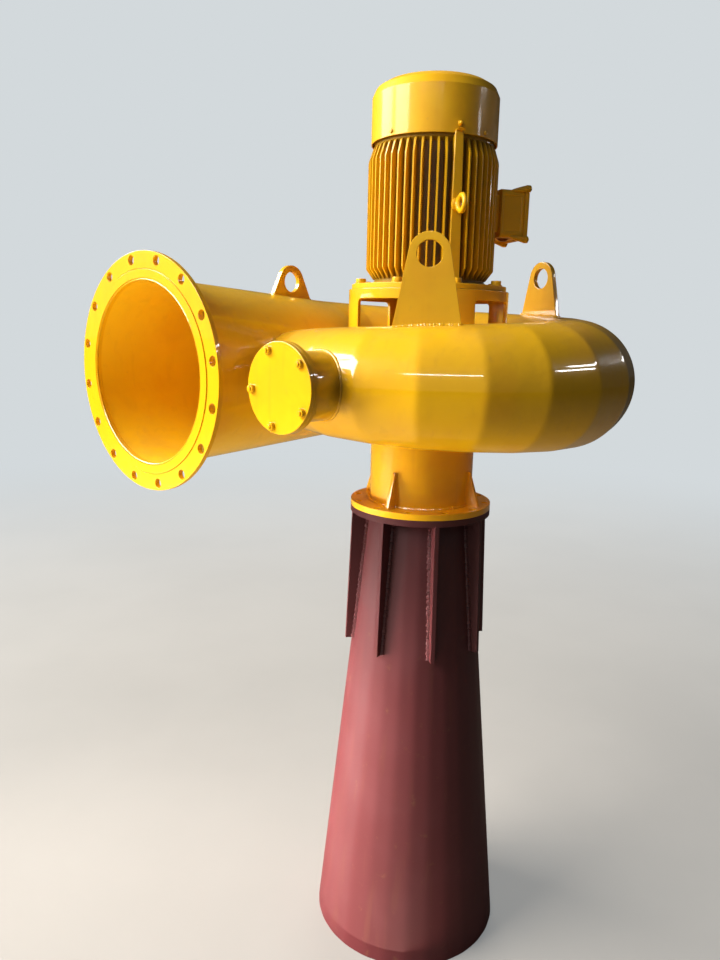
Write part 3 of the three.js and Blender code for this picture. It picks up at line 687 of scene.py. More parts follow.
# The outer skin is drawn in by the bend at the side away from the axis, and out at the near side.
def casingSection(swept, bend=0.0):
    middle, radius = casingCircle(swept)
    loop = []
    for skin, pull, way in ((radius, bend, 1), (radius - casingLook.wall, 0.0, -1)):
        end = math.pi - math.asin(casingLook.mouth / skin)
        steps = range(casingLook.points)[::way]
        for turn in [-end + 2 * end * i / (casingLook.points - 1) for i in steps]:
            loop.append(onSection(swept, middle, skin - pull * math.cos(turn), turn))
    return loop


# Rows of the strakes' straight walls, with a soft bend where two strakes are welded.
def casingRows():
    look, rows = casingLook, []
    half = math.radians(look.strakeAngle / 2)
    angles = [look.strakeAngle * i for i in range(look.strakes + 1)]
    seams = [casingSection(angle) for angle in angles]
    bent = [casingSection(angle, look.seamBend * math.tan(half) / 2) for angle in angles]
    length = 2 * half * look.seamRadius
    steps = [(0.0, 1.0)] + [(reach / length, max(0, 1 - reach / look.seamBend) ** 2)
                            for reach in reversed(look.seamRows)]
    steps += [(1 - share, pull) for share, pull in reversed(steps[1:])]
    for strake in range(look.strakes):
        corners = list(zip(seams[strake], seams[strake + 1], bent[strake], bent[strake + 1]))
        for share, pull in steps:
            rows.append([a.lerp(b, share).lerp(c.lerp(d, share), pull) for a, b, c, d in corners])
    rows.append(bent[-1])
    return rows


# Inlet pipe: it tapers from the flange to the first strake.
inletLook = Look(
    flangeFace=583, flangeThickness=12, raisedFace=2, raisedRadius=243, rimRadius=284.75, bore=218,
    centreY=405, centreHeight=1573, pipeRadius=227, pipeStart=-568.7, holes=16, firstHoleAngle=9,
    holeCircle=267, holeRadius=12, holeEdge=0.25, grooveWidth=1.8, grooveDepth=1.3, boreStep=5,
    boreFlare=4.5, crease=32, outerRows=((-560, 0), (-20, 0), (-9, 0.1), (-4, 0.4), (0, 0.5)),
    innerRows=(0, -20, -560), voidRows=(-560, 2))


def pipeCircle(x):
    share = x / inletLook.pipeStart
    middle, radius = casingCircle(0)
    return (middle + (inletLook.centreY - middle) * share,
            casingLook.height + (inletLook.centreHeight - casingLook.height) * share,
            radius + (inletLook.pipeRadius - radius) * share)


def pipeRow(x, proud=0.0, points=128):
    y, z, radius = pipeCircle(x)
    return [Vector((x, point.x, point.y)) for point in circlePoints(radius + proud, points, (y, z))]


handHoleLook = Look(
    coverFace=556, centreY=-42.4, height=1568, coverRadius=95.9, cover=10, flange=12,
    neckRadius=75.5, neckWall=6.5, joint=0.6, bolts=5, boltCircle=82.3, firstBolt=-104,
    boltAcross=18, boltHeight=7.5, nutHeight=9, threadRadius=5, threadLow=6, threadHigh=10.8,
    voidStart=380, voidEnd=600, neckFoot=400, cutStrakes=range(14, 19), crease=32)
handHolePlace = Vector((0, handHoleLook.centreY, handHoleLook.height))
handHoleBore = handHoleLook.neckRadius - handHoleLook.neckWall
towardsMinusX = facing(180, handHolePlace)
stayLook = Look(rim=230, plate=12, halfOpening=50, topBore=150, space=238, gap=0.3,
                throatBore=128.5, vanes=6, vaneRadius=200, chord=70, angle=35, camber=3.2,
                outerBelly=5.4, innerBelly=4.2)


# The stay ring's space: wider between its plates than beside them.
openHigh, openLow = (casingLook.height + side * stayLook.halfOpening for side in (1, -1))
plateHigh, plateLow = openHigh + stayLook.plate, openLow - stayLook.plate
gap, rimClear = stayLook.gap, stayLook.rim + stayLook.gap
staySpace = lathe([(0, plateLow - gap), (rimClear, plateLow - gap), (rimClear, openLow + gap),
                   (stayLook.space, openLow + gap), (stayLook.space, openHigh - gap),
                   (rimClear, openHigh - gap), (rimClear, plateHigh + gap), (0, plateHigh + gap)])
neckVoid = disc(0, handHoleBore, handHoleLook.voidStart, handHoleLook.voidEnd, sides=64)
pipeSpace = skinOverRows([pipeRow(x, points=160) for x in inletLook.voidRows])
shell = cutAway(skinOverRows(casingRows(), "ribbon"), pipeSpace, moved(neckVoid, towardsMinusX))


# Where the tail ends on the pipe: edges of the casing's outer skin that lie on the pipe.
def onOuterSkin(point):
    swept = (90 - math.degrees(math.atan2(point.y, point.x))) % 360
    middle, radius = casingCircle(swept)
    half = casingLook.strakeAngle / 2
    straight = math.cos(math.radians(half)) / math.cos(math.radians(swept % (2 * half) - half))
    rise = point.z - casingLook.height
    return abs(math.hypot(point.xy.length / straight - middle, rise) - radius) < 3


def onPipe(point):
    y, z, radius = pipeCircle(point.x)
    return point.x < 0 and abs(math.hypot(point.y - y, point.z - z) - radius) < 0.4


tailSeam = []
for edge in shell.edges:
    ends = [vertex.co.copy() for vertex in edge.verts]
    if all(onPipe(point) and onOuterSkin(point) for point in ends):
        if edge.calc_length() > 0.01 and edge.calc_face_angle(0) > 0.2:
            tailSeam.append((ends, False))
casingSurface = BVHTree.FromBMesh(shell)
finishPiece("spiralCasing", shell, sheetYellow, [*numbered("casing_strakes", 8), "casing_tail"],
            casingLook.crease)

start, wall = inletLook.pipeStart, -casingLook.wall
rows = [pipeRow(start)] + [pipeRow(x, proud) for x, proud in inletLook.outerRows]
rows += [pipeRow(x, wall) for x in (*inletLook.innerRows, start)] + rows[:1]
finishPiece("inletPipe", cutAway(skinOverRows(rows, "open"), staySpace), pipeYellow, ["inlet_pipe"],
            inletLook.crease)

look = inletLook
face, front = look.flangeFace, look.flangeFace - look.raisedFace
back, flare = front - look.flangeThickness, look.bore + look.boreFlare
grooveFloor, stepFloor = front - look.grooveDepth, face - look.boreStep
inletFlange = lathe(
    [(look.bore, back, 1), (look.rimRadius, back, 1.2), (look.rimRadius, front, 1.2),
     (look.raisedRadius + look.grooveWidth, front, 0.3),
     (look.raisedRadius + look.grooveWidth, grooveFloor), (look.raisedRadius, grooveFloor),
     (look.raisedRadius, face, 0.5), (flare, face, 0.6), (flare, stepFloor, 0.5),
     (look.bore, stepFloor, 0.8)], 160, 2)
# The drill widens towards its ends, which softens the rims of the holes.
radius, edge, past = look.holeRadius, look.holeEdge, 3
drill = [(0, back - past), (radius + edge + past, back - past), (radius, back + edge),
         (radius, front - edge), (radius + edge + past, front + past), (0, front + past)]
spots = [polar(look.firstHoleAngle + hole * 360 / look.holes, look.holeCircle)
         for hole in range(look.holes)]
drills = joined(*(moved(lathe(drill, 32), shift(spot)) for spot in spots))
inletFlange = moved(cutAway(inletFlange, drills),
                    facing(180, Vector((0, look.centreY, look.centreHeight))))
finishPiece("inletFlange", inletFlange, sheetYellow, ["inlet_flange"], look.crease)
print("casing and inlet ready")

# Hand hole: neck, flange and blind cover with its bolts.
look = handHoleLook
coverBack = look.coverFace - look.cover
flangeFront, flangeBack = coverBack - look.joint, coverBack - look.joint - look.flange
rows = []
for strake in look.cutStrakes:
    swept = casingLook.strakeAngle * strake
    middle, radius = casingCircle(swept)
    radius -= casingLook.wall / 2
    rows.append([onSection(swept, middle, radius, turn) for turn in turns(64)])
neck = disc(handHoleBore, look.neckRadius, look.neckFoot, flangeBack + 1, sides=96)
neck = cutAway(moved(neck, towardsMinusX), skinOverRows(rows))
finishPiece("handHoleNeck", neck, sheetYellow, ["hand_hole_neck"], look.crease)
outer = look.coverRadius
handFlange = disc(handHoleBore, outer, flangeBack, flangeFront, 1.2, 1.2, 96)
finishPiece("handHoleFlange", moved(handFlange, towardsMinusX), sheetYellow, ["hand_hole_flange"])
cover = disc(0, outer, coverBack, look.coverFace, 0.8, 2.2, 96, 4)
finishPiece("handHoleCover", moved(cover, towardsMinusX), sheetYellow, ["hand_hole_cover"])
threadEnd = disc(0, look.threadRadius, look.threadLow, look.threadHigh, 0, 1, 20)
coverBolt = joined(boltHead(look.boltAcross, look.boltHeight), threadEnd)
coverBolts = boltRing(coverBolt, look, sheetYellow, look.coverFace - 0.1, 5)
finishPiece("handHoleBolts", moved(coverBolts, towardsMinusX), sheetYellow)
coverNuts = boltRing(boltHead(look.boltAcross, look.nutHeight), look, sheetYellow, 0, 8)
turnedOver = shift((0, 0, flangeBack + 0.1)) @ Matrix.Scale(-1, 4, (0, 0, 1))
finishPiece("handHoleNuts", moved(coverNuts, towardsMinusX @ turnedOver), sheetYellow)

# Stay ring: two plates with curved vanes between them.
look = stayLook
for name, bore, low, node in (("stayRingTop", look.topBore, openHigh, "stay_ring_top"),
                              ("stayRingBottom", look.throatBore, plateLow, "stay_ring_bottom")):
    high = low + look.plate
    plate = lathe([(bore, low, 2), (look.rim, low, 1), (look.rim, high, 1), (bore, high, 2)])
    finishPiece(name, plate, sheetYellow, [node])
outline = []
for belly, steps in ((look.outerBelly, range(13)), (-look.innerBelly, range(11, 0, -1))):
    for share in [step / 12 for step in steps]:
        bow = look.camber * math.sin(math.pi * share) + belly * math.sin(math.pi * share ** 0.7)
        outline.append(Vector((look.chord * (share - 0.5), bow)))
vane = prism(outline, (openLow - 0.5, openLow + 2, openHigh - 2, openHigh + 0.5))
vanes = ringOfParts(moved(vane, about("Z", 90 + look.angle)), sheetYellow, look.vanes,
                    look.vaneRadius)
finishPiece("stayVanes", vanes, sheetYellow, numbered("stay_vane", look.vanes))

# Head cover with its bolts and the shaft's gland, inside the stand.
headLook = Look(
    profile=[(27.8, 1610, 1), (149.5, 1610, 2), (149.5, 1630.3), (188, 1630.3), (188, 1644.3, 1.5),
             (74, 1644.3, 6), (62, 1654.3, 4), (62, 1692, 2), (44, 1692, 1), (44, 1686),
             (27.8, 1686)],
    gland=[(29, 1690, 0.6), (52, 1690, 1), (52, 1699, 2), (30, 1699, 1)],
    bolts=12, boltCircle=168, firstBolt=15, boltAcross=18, boltHeight=8, boltFoot=1644.2,
    washerRadius=14, washer=2.2)
look = headLook
finishPiece("headCover", lathe(look.profile, 128, 4), castYellow, ["head_cover"])
headBolt = boltHead(look.boltAcross, look.boltHeight, look.washerRadius, look.washer)
headBolts = boltRing(headBolt, look, sheetYellow, look.boltFoot, 3)
finishPiece("headCoverBolts", headBolts, sheetYellow)
finishPiece("shaftGland", lathe(look.gland, 64), turnedSteel)

# Stand: a pipe with four windows and a ring inside its top.
standLook = Look(radius=203, wall=8, foot=1630.3, top=1786.5, ringBottom=1775, ringBore=165,
                 windowLow=1650, windowHigh=1762, windowWidth=139, corner=12, edge=1.6,
                 cutterReach=260)
look = standLook
bore = look.radius - look.wall
stand = lathe([(bore, look.foot), (look.radius, look.foot), (look.radius, look.top, 1.5),
               (look.ringBore, look.top, 1.5), (look.ringBore, look.ringBottom, 1),
               (bore, look.ringBottom, 3)], 160, 3)
window = roundedRectangle(look.windowWidth, look.windowHigh - look.windowLow, look.corner, 8)
middle = Vector((0, 0, (look.windowLow + look.windowHigh) / 2))
levels = (-look.cutterReach, look.cutterReach)
stand = cutAway(stand, *(moved(prism(window, levels), facing(angle, middle))
                         for angle in (0, 90)))


def onWindowEdge(edge):
    look = standLook
    return all(look.windowLow - 1 < vertex.co.z < look.windowHigh + 1
               and min(abs(vertex.co.x), abs(vertex.co.y)) < look.windowWidth / 2 + 0.5
               and abs(vertex.co.xy.length - look.radius) < 0.7 for vertex in edge.verts)


bmesh.ops.recalc_face_normals(stand, faces=stand.faces)
finishPiece("generatorStand", softened(stand, look.edge, 3, test=onWindowEdge), sheetYellow,
            ["stand_foot", "stand_crown", "stand_top_ring", *numbered("stand_column", 4)])
print("stand ready")

# Generator: flange with bolts, then the frame with its ribs, eye bolt's strip and cowl seats.
generatorLook = Look(
    flange=196, flangeBore=100, flangeLow=1787.3, flangeHigh=1799.3, bolts=8, boltCircle=180,
    firstBolt=12.65, boltAcross=24, boltHeight=10, washerRadius=15, washer=2.5, root=139,
    reach=161, ribFoot=7, ribTip=3.6, pitch=6.92, ribs=50, ribLow=1813, ribFull=1837,
    ribShoulder=2092, ribHigh=2131, ribEdge=1.1,
    stripAngle=-122, stripWidth=29, stripLow=1799.6, stripHigh=2140, stripNarrows=2118,
    stripRoot=130, stripTop=2132, narrowing=0.34, sinking=3.2, cowlInside=156.4,
    seats=4, seatAngle=-94, seatRoot=140, seatWidth=18,
    seat=[(130, 2137), (151.4, 2137, 1), (151.4, 2150, 1), (130, 2150)],
    core=[(28, 1799.6), (144, 1799.6, 1), (144, 1806, 1.5), (139, 1809, 2), (139, 2118, 2),
          (146, 2127, 2), (148, 2150, 1.5), (120, 2150, 2), (116, 2146, 2), (40, 2146, 2),
          (34, 2152, 2), (14, 2152), (14, 2205, 1.5), (0, 2205), (0, 1775), (24, 1775, 1),
          (24, 1799.6)])
look = generatorLook
flange = disc(look.flangeBore, look.flange, look.flangeLow, look.flangeHigh, 1.2, 1.5, 160)
finishPiece("generatorFlange", flange, castYellow, ["generator_flange"])
flangeBolt = boltHead(look.boltAcross, look.boltHeight, look.washerRadius, look.washer)
flangeBolts = boltRing(flangeBolt, look, castYellow, look.flangeHigh - 0.1, 11)
finishPiece("generatorFlangeBolts", flangeBolts, castYellow)


# A cooling rib: an upright outline, thick at its root, chamfered below and rounded above.
def coolingRib():
    look = generatorLook
    root = look.root - 2
    outline = rounded(
        [(root, look.ribLow - 1), (look.root + 4, look.ribLow, 2), (look.reach, look.ribFull, 6),
         (look.reach, look.ribShoulder, 20), (look.root + 11, look.ribHigh - 7, 12),
         (root, look.ribHigh)], 4)
    rows = []
    for side in (-1, 1):
        row = []
        for point in outline:
            share = max(0.0, (point.x - look.root) / (look.reach - look.root))
            width = look.ribFoot / 2 + (look.ribTip / 2 - look.ribFoot / 2) * share
            row.append((point.x, side * width, point.y))
        rows.append(row)
    bm = skinOverRows(rows)
    bmesh.ops.triangulate(bm, faces=[face for face in bm.faces if len(face.verts) > 4])
    bmesh.ops.recalc_face_normals(bm, faces=bm.faces)
    rim = [edge for edge in bm.edges
           if edge.calc_face_angle(0) > 0.9 and min(v.co.x for v in edge.verts) > look.root + 1
           and edge.verts[0].co.y * edge.verts[1].co.y > 0]
    bmesh.ops.bevel(bm, geom=rim, offset=look.ribEdge, segments=2, affect="EDGES", profile=0.5,
                    clamp_overlap=True)
    return moved(bm, shift((-look.root, 0, 0)))


firstRib = look.stripAngle + (360 - (look.ribs - 1) * look.pitch) / 2
ribs = ringOfParts(coolingRib(), castYellow, look.ribs, look.root, firstRib, look.pitch)
root, reach = look.stripRoot, look.reach
outline = rounded([(root, look.stripLow), (reach, look.stripLow, 3), (reach, look.stripHigh, 3),
                   (look.cowlInside, look.stripHigh, 1), (look.cowlInside, look.stripTop),
                   (root, look.stripTop)], 3)
strip = cutPlate(outline, look.stripWidth, 1.6, 3)
# Its top end narrows where it overlaps the cowl.
for vertex in strip.verts:
    share = max(0.0, min(1.0, (vertex.co.y - look.stripNarrows) / 16))
    vertex.co.z *= 1 - look.narrowing * share
    vertex.co.x -= look.sinking * share if vertex.co.x > look.reach - 5 else 0
strip = moved(strip, about("Z", look.stripAngle) @ upright)
seat = uprightPlate(look.seat, look.seatWidth, 0.8, look.seatRoot)
seats = ringOfParts(seat, castYellow, look.seats, look.seatRoot, look.seatAngle)
finishPiece("generatorFrame", joined(lathe(look.core), ribs, strip, seats), ribYellow,
            ["generator_frame"], crease=40)

# Cowl with its slots and screws, and a grease nipple.
cowlLook = Look(
    radius=155, rim=2133, top=2270, shoulder=38, wall=3, rings=3, firstSlot=34, slotStep=25,
    slotWidth=12, slots=6, slotAngle=46, screws=4, screwHeight=2143.5, nippleAngle=-121.5,
    nippleHeight=2154, screw=[(0, -1.5), (2.6, -1.5), (2.6, 0), (5.2, 0, 0.5), (4.6, 2.6, 1.6),
                              (1.6, 3.2, 0.5), (1.4, 2.2), (0, 2.2)],
    nipple=[(0, -3), (6, -3), (6, 1, 0.8), (4, 2, 0.6), (4, 6, 1), (2.4, 9, 1), (0, 9)])
look = cowlLook
outer, inner, roof = look.radius, look.radius - look.wall, look.top - look.wall
cowl = lathe([(outer, look.rim, 1), (outer, look.top - 31, 3), (outer - 9, look.top - 12, 9),
              (outer - 29, look.top, 14), (0, look.top), (0, roof),
              (inner, roof, look.shoulder - look.wall), (inner, look.rim, 1)], 160, 10)


# A curved slot with round ends: along its outer side, round one end, back and round the other.
def slotCutter(radius):
    half, width = cowlLook.slotAngle / 2, cowlLook.slotWidth
    capped = half - math.degrees(width / 2 / radius)
    outline = []
    for way, reach in ((1, radius + width), (-1, radius)):
        outline += [polar(way * (-capped + 2 * capped * i / 12), reach).xy for i in range(13)]
        middle = polar(way * capped, radius + width / 2).xy
        tip = math.radians(way * capped) + (0 if way > 0 else math.pi)
        outline += [middle + Vector((math.cos(tip + math.pi * i / 6),
                                     math.sin(tip + math.pi * i / 6))) * width / 2
                    for i in range(1, 6)]
    return prism(outline, (-9, 9))


# The cutters are drawn where they cut, so the ring only turns them.
slots = [ringOfParts(slotCutter(look.firstSlot + ring * look.slotStep), sheetYellow, look.slots,
                     0.001, height=look.top - 1.5) for ring in range(look.rings)]
finishPiece("fanCowl", cutAway(cowl, *slots), castYellow, ["fan_cowl"], crease=36)
cowlScrews = ringOfParts(moved(lathe(look.screw, 24), about("Y", 90)), castYellow, look.screws,
                         look.radius, generatorLook.seatAngle, height=look.screwHeight)
nipple = moved(moved(lathe(look.nipple, 24), about("Y", 90)),
               shift(polar(look.nippleAngle, look.radius, look.nippleHeight))
               @ about("Z", look.nippleAngle))
finishPiece("cowlScrews", joined(cowlScrews, nipple), castYellow)

# Cooling fan, which shows through the slots.
fanLook = Look(hub=[(14.3, 2164, 1), (96, 2164, 1), (96, 2168, 1), (30, 2168, 3), (26, 2205, 2),
                    (14.3, 2205)],
               blades=7, blade=[(24, 2165), (126, 2165), (126, 2226), (24, 2200)], thickness=4,
               root=24)
look = fanLook
blade = uprightPlate(look.blade, look.thickness, 1.2, look.root)
blades = ringOfParts(blade, castYellow, look.blades, look.root)
finishPiece("coolingFan", joined(lathe(look.hub, 96), blades), castYellow, ["cooling_fan"])
print("generator ready")

# Terminal box: a body with sunk side panels, a lid with screw ears, and a cable plug below.
boxLook = Look(
    angle=-32, width=110, height=116, bottom=1924, back=166, depth=63, corner=8, lid=12, overlap=3,
    panelBorder=9, panelDepth=2, panelSlope=1.4, neckWidth=84, neckHeight=92, neckDepth=34,
    neckSunk=17.2, ear=9, bossStart=26, bossFoot=2, plugAcross=-14,
    screw=[(0, 0), (5, 0, 0.6), (4.4, 2.6, 1.2), (1.4, 3.0, 0.4), (1.2, 2.0), (0, 2.0)],
    plug=Look(across=24, height=2.5, washerRadius=15, washerHeight=1.2), plugCap=9,
    plugCapLow=3.6, plugCapHigh=5.6)
look = boxLook
boxMiddle = polar(look.angle, look.back, look.bottom + look.height / 2)
toBox = facing(look.angle, boxMiddle)
body = bmesh.new()
bmesh.ops.create_cube(body, size=1)
moved(body, shift((0, 0, look.depth / 2))
      @ Matrix.Diagonal((look.width, look.height, look.depth, 1)))
upEdges = [edge for edge in body.edges
           if abs((edge.verts[0].co - edge.verts[1].co).normalized().z) > 0.9]
bmesh.ops.bevel(body, geom=upEdges, offset=look.corner, segments=5, affect="EDGES", profile=0.5)
body.normal_update()
panels = [face for face in body.faces if abs(face.normal.z) < 0.1 and face.calc_area() > 3000]
for width, depth in ((look.panelBorder, 0), (look.panelSlope, -look.panelDepth)):
    bmesh.ops.inset_individual(body, faces=panels, thickness=width, depth=depth)
    body.normal_update()
neckBlock = cutPlate(roundedRectangle(look.neckWidth, look.neckHeight, look.corner),
                     look.neckDepth, 2)
moved(neckBlock, shift((0, 0, -look.neckSunk)))
finishPiece("terminalBox", moved(joined(softened(body, 1.2, 2), neckBlock), toBox), castYellow,
            ["terminal_box"], crease=42)
lidX, lidY = look.width / 2 + look.overlap, look.height / 2 + look.overlap
outline = []
for turn, (x, y) in enumerate(((1, -1), (1, 1), (-1, 1), (-1, -1))):
    for step in range(13):
        ear = polar(-180 + 90 * turn + 270 * step / 12, look.ear)
        outline.append(Vector((x * lidX + ear.x, y * lidY + ear.y)))
lidHigh = look.depth + look.lid
lid = [moved(cutPlate(outline, look.lid, 2.2, 3), shift((0, 0, lidHigh + 0.3 - look.lid / 2)))]
for corner in [Vector((x * lidX, y * lidY, 0)) for x in (-1, 1) for y in (-1, 1)]:
    lid.append(moved(lathe(look.screw, 24), shift(corner + Vector((0, 0, lidHigh + 0.2)))))
    rows = []
    for share in (0, 0.12, 0.5, 1):
        level = look.bossStart + (look.depth - look.bossStart) * share
        middle = corner * (0.9 + 0.1 * share) + Vector((0, 0, level))
        rows.append([middle + Vector((*point, 0))
                     for point in circlePoints(look.bossFoot + (look.ear - 3) * share ** 0.7, 24)])
    lid.append(skinOverRows(rows))
finishPiece("terminalBoxLid", moved(joined(*lid), toBox), castYellow, ["terminal_box_lid"])
plug = joined(boltHead(**look.plug),
              disc(0, look.plugCap, look.plugCapLow, look.plugCapHigh, 0, 1, 32))
plugPlace = (shift((look.plugAcross, 0.3 - look.height / 2, look.depth * 0.45))
             @ about("X", 90))
finishPiece("cablePlug", moved(plug, toBox @ plugPlace), glandPlastic)

# Eye bolt: a collar, a neck and a ring that is thicker at its foot.
eyeLook = Look(height=1977, angle=-122, seat=161.3, ring=17.5, bar=6, thicker=0.22, offset=25,
               collar=[(0, -1), (15, -1), (15, 5, 1), (8.5, 7, 2), (6, 11, 2), (0, 11)])
look = eyeLook
rows = []
for turn in turns(48):
    bar = look.bar * (1.0 + look.thicker * max(0.0, -math.cos(turn)) ** 3)
    out = Vector((0, math.sin(turn), math.cos(turn)))
    middle = Vector((0, look.ring * math.sin(turn), look.offset + look.ring * math.cos(turn)))
    rows.append([middle + out * bar * math.cos(around) + Vector((bar * math.sin(around), 0, 0))
                 for around in turns(16)])
eye = joined(lathe(look.collar, 48), skinOverRows(rows + rows[:1], "open"))
eye = moved(eye, facing(look.angle, polar(look.angle, look.seat, look.height)))
finishPiece("eyeBolt", eye, castYellow, ["eye_bolt"])

# Lifting lugs: a plate that narrows to a round crown with one hole.
lugLook = Look(thickness=14, eye=27.5, crown=45, halfBase=74, edge=1.2)
casingLugs = [
    Look(name="liftingLugFront", node="lifting_lug_front", angle=-143.35, radius=353, base=1698,
         eyeHeight=1849),
    Look(name="liftingLugSide", node="lifting_lug_side", angle=-19.5, radius=381, base=1721,
         eyeHeight=1836.5)]
inletLug = Look(name="liftingLugInlet", node="lifting_lug_inlet", x=-103, base=1765, eyeHeight=1812)


def addLug(lug, place):
    look, rise = lugLook, lug.eyeHeight - lug.base
    slope = math.hypot(look.halfBase, rise)
    side = math.atan2(-rise, look.halfBase) + math.acos(look.crown / slope)
    outline = [Vector((-look.halfBase, lug.base)), Vector((look.halfBase, lug.base))]
    for i in range(29):
        turn = side + (math.pi - 2 * side) * i / 28
        outline.append(Vector((look.crown * math.cos(turn),
                               lug.eyeHeight + look.crown * math.sin(turn))))
    plate = cutPlate(outline, look.thickness, look.edge,
                     holes=[circlePoints(look.eye, 40, (0, lug.eyeHeight))])
    finishPiece(lug.name, moved(plate, place), sheetYellow, [lug.node])


for lug in casingLugs:
    addLug(lug, facing(lug.angle, polar(lug.angle, lug.radius)))
addLug(inletLug, facing(90, Vector((inletLug.x, inletLook.centreY, 0))))
print("lugs ready")

# Throat: the pipe under the stay ring, its drilled flange and its gussets.
throatLook = Look(
    radius=136.5, bore=128.5, low=1243, high=1506, flange=187.5, flangeMiddle=1234.9,
    flangeThickness=16.2, holes=12, holeCircle=173, holeRadius=8.7, firstHole=-152, gussets=4,
    firstGusset=8, gussetFoot=172, gussetToe=6, gussetCrest=8, gussetHeight=90, gusset=9)
look = throatLook
finishPiece("throatPipe", disc(look.bore, look.radius, look.low, look.high), sheetYellow,
            ["throat_pipe"])


def addFlange(name, node, look, finish):
    holes = [circlePoints(look.bore, 128)]
    for hole in range(throatLook.holes):
        spot = polar(throatLook.firstHole + hole * 360 / throatLook.holes, throatLook.holeCircle)
        holes.append(circlePoints(throatLook.holeRadius, 24, spot.xy))
    plate = cutPlate(circlePoints(look.flange, 160), look.flangeThickness, holes=holes)
    finishPiece(name, moved(plate, shift((0, 0, look.flangeMiddle))), finish, [node])


addFlange("throatFlange", "throat_flange", look, sheetYellow)
root, foot = look.radius - 1, look.low - 0.5
top = foot + look.gussetHeight
gusset = uprightPlate(
    [(root, foot), (look.gussetFoot, foot), (look.gussetFoot, foot + look.gussetToe, 1.5),
     (look.radius + look.gussetCrest, top, 1.5), (root, top)], look.gusset, 0.9, root)
gussets = ringOfParts(gusset, sheetYellow, look.gussets, root, look.firstGusset)
finishPiece("throatGussets", gussets, sheetYellow, numbered("throat_gusset", look.gussets))

# Draft cone: rolled plate with faint press lines, its flange and long fins.
draftLook = Look(
    mouth=259, top=141, height=1210, wall=7, sides=224, pressLines=28, pressDepth=0.25, rim=0.8,
    flange=187.5, bore=134, flangeMiddle=1218.4, flangeThickness=16.2, fins=8, firstFin=6,
    finThickness=12, finBottom=851, finTop=1210.2, finReachTop=185, finReachBottom=197,
    finRoot=140, finSunk=3, crease=32)
look = draftLook


def coneRadius(height):
    return draftLook.mouth + (draftLook.top - draftLook.mouth) * height / draftLook.height


rows = []
for level in [0, 1.2] + [look.height * i / 24 for i in range(1, 25)]:
    reach = coneRadius(level) - (look.rim if level == 0 else 0) - look.pressDepth
    rows.append([])
    for turn in [360 * side / look.sides for side in range(look.sides)]:
        press = look.pressDepth * math.cos(math.radians(look.pressLines * turn))
        rows[-1].append(polar(turn, reach + press, level))
for level in (look.height, look.height / 2, 0):
    rows.append([polar(360 * side / look.sides, coneRadius(level) - look.wall, level)
                 for side in range(look.sides)])
cone = skinOverRows(rows + rows[:1], "open")
finishPiece("draftCone", cone, primerRed, ["draft_cone"], look.crease)
addFlange("draftFlange", "draft_flange", look, primerRed)
low, high = look.finBottom, look.finTop
fin = uprightPlate([(coneRadius(low) - look.finSunk, low), (look.finReachBottom, low),
                    (look.finReachTop, high), (coneRadius(high) - look.finSunk, high)],
                   look.finThickness, 1.2, look.finRoot)
fins = ringOfParts(fin, primerRed, look.fins, look.finRoot, look.firstFin)
finishPiece("draftFins", fins, primerRed, numbered("draft_fin", look.fins))
print("throat and draft cone ready")

# Shaft line: shaft, coupling with its grub screws, and the bladed runner in the throat.
shaftLook = Look(
    radius=27.5, low=1418.3, high=1699.5,
    coupling=[(0, 1700.3), (60, 1700.3, 1.5), (60, 1733, 1.5), (52, 1733), (52, 1739),
              (60, 1739, 1.5), (60, 1772, 1.5), (34, 1772, 1), (34, 1774.5, 0.5), (0, 1774.5)],
    grub=[(0, 0), (4, 0), (4, 1.5, 0.4), (2, 1.5), (2, 0.4), (0, 0.4)], grubs=3, grubCircle=59.4,
    grubRows=((1716, 0), (1756, 40)))
look = shaftLook
finishPiece("turbineShaft", disc(0, look.radius, look.low, look.high, 0, 1, 64), turnedSteel,
            ["turbine_shaft"])
grubs = [ringOfParts(moved(lathe(look.grub, 16), about("Y", 90)), turnedSteel, look.grubs,
                     look.grubCircle, first, height=height) for height, first in look.grubRows]
finishPiece("shaftCoupling", joined(lathe(look.coupling, 96), *grubs), turnedSteel,
            ["shaft_coupling"])

# A blade's numbers go from its root to its tip.
runnerLook = Look(
    blades=4, bladeHeight=1366, reach=(38, 126), chord=(78, 150), pitch=(48, 22),
    thickness=(9, 4.95), camber=5, root=30,
    hub=[(0, 1262), (14, 1262, 5), (30, 1290, 30), (44, 1330, 20), (52, 1350, 12), (52, 1384, 10),
         (44, 1402, 5), (39, 1404, 1), (39, 1418, 1.5), (0, 1418)])
look = runnerLook
rows = []
for share in [station / 12 for station in range(13)]:
    radius, chord, pitch, thickness = (
        first + (last - first) * share
        for first, last in (look.reach, look.chord, look.pitch, look.thickness))
    pitch = math.radians(pitch)
    rows.append([])
    for turn in turns(32):
        run = chord / 2 * math.cos(turn)
        rise = thickness / 2 * math.sin(turn) + look.camber * (1 - (2 * run / chord) ** 2) * 0.5
        across = run * math.cos(pitch) - rise * math.sin(pitch)
        height = run * math.sin(pitch) + rise * math.cos(pitch)
        rows[-1].append(polar(math.degrees(across / radius), radius, look.bladeHeight + height))
blade = moved(skinOverRows(rows), shift((-look.root, 0, 0)))
blades = ringOfParts(blade, turnedSteel, look.blades, look.root)
finishPiece("runner", joined(lathe(look.hub, 96, 4), blades), turnedSteel, ["runner"])
print("shaft line ready")

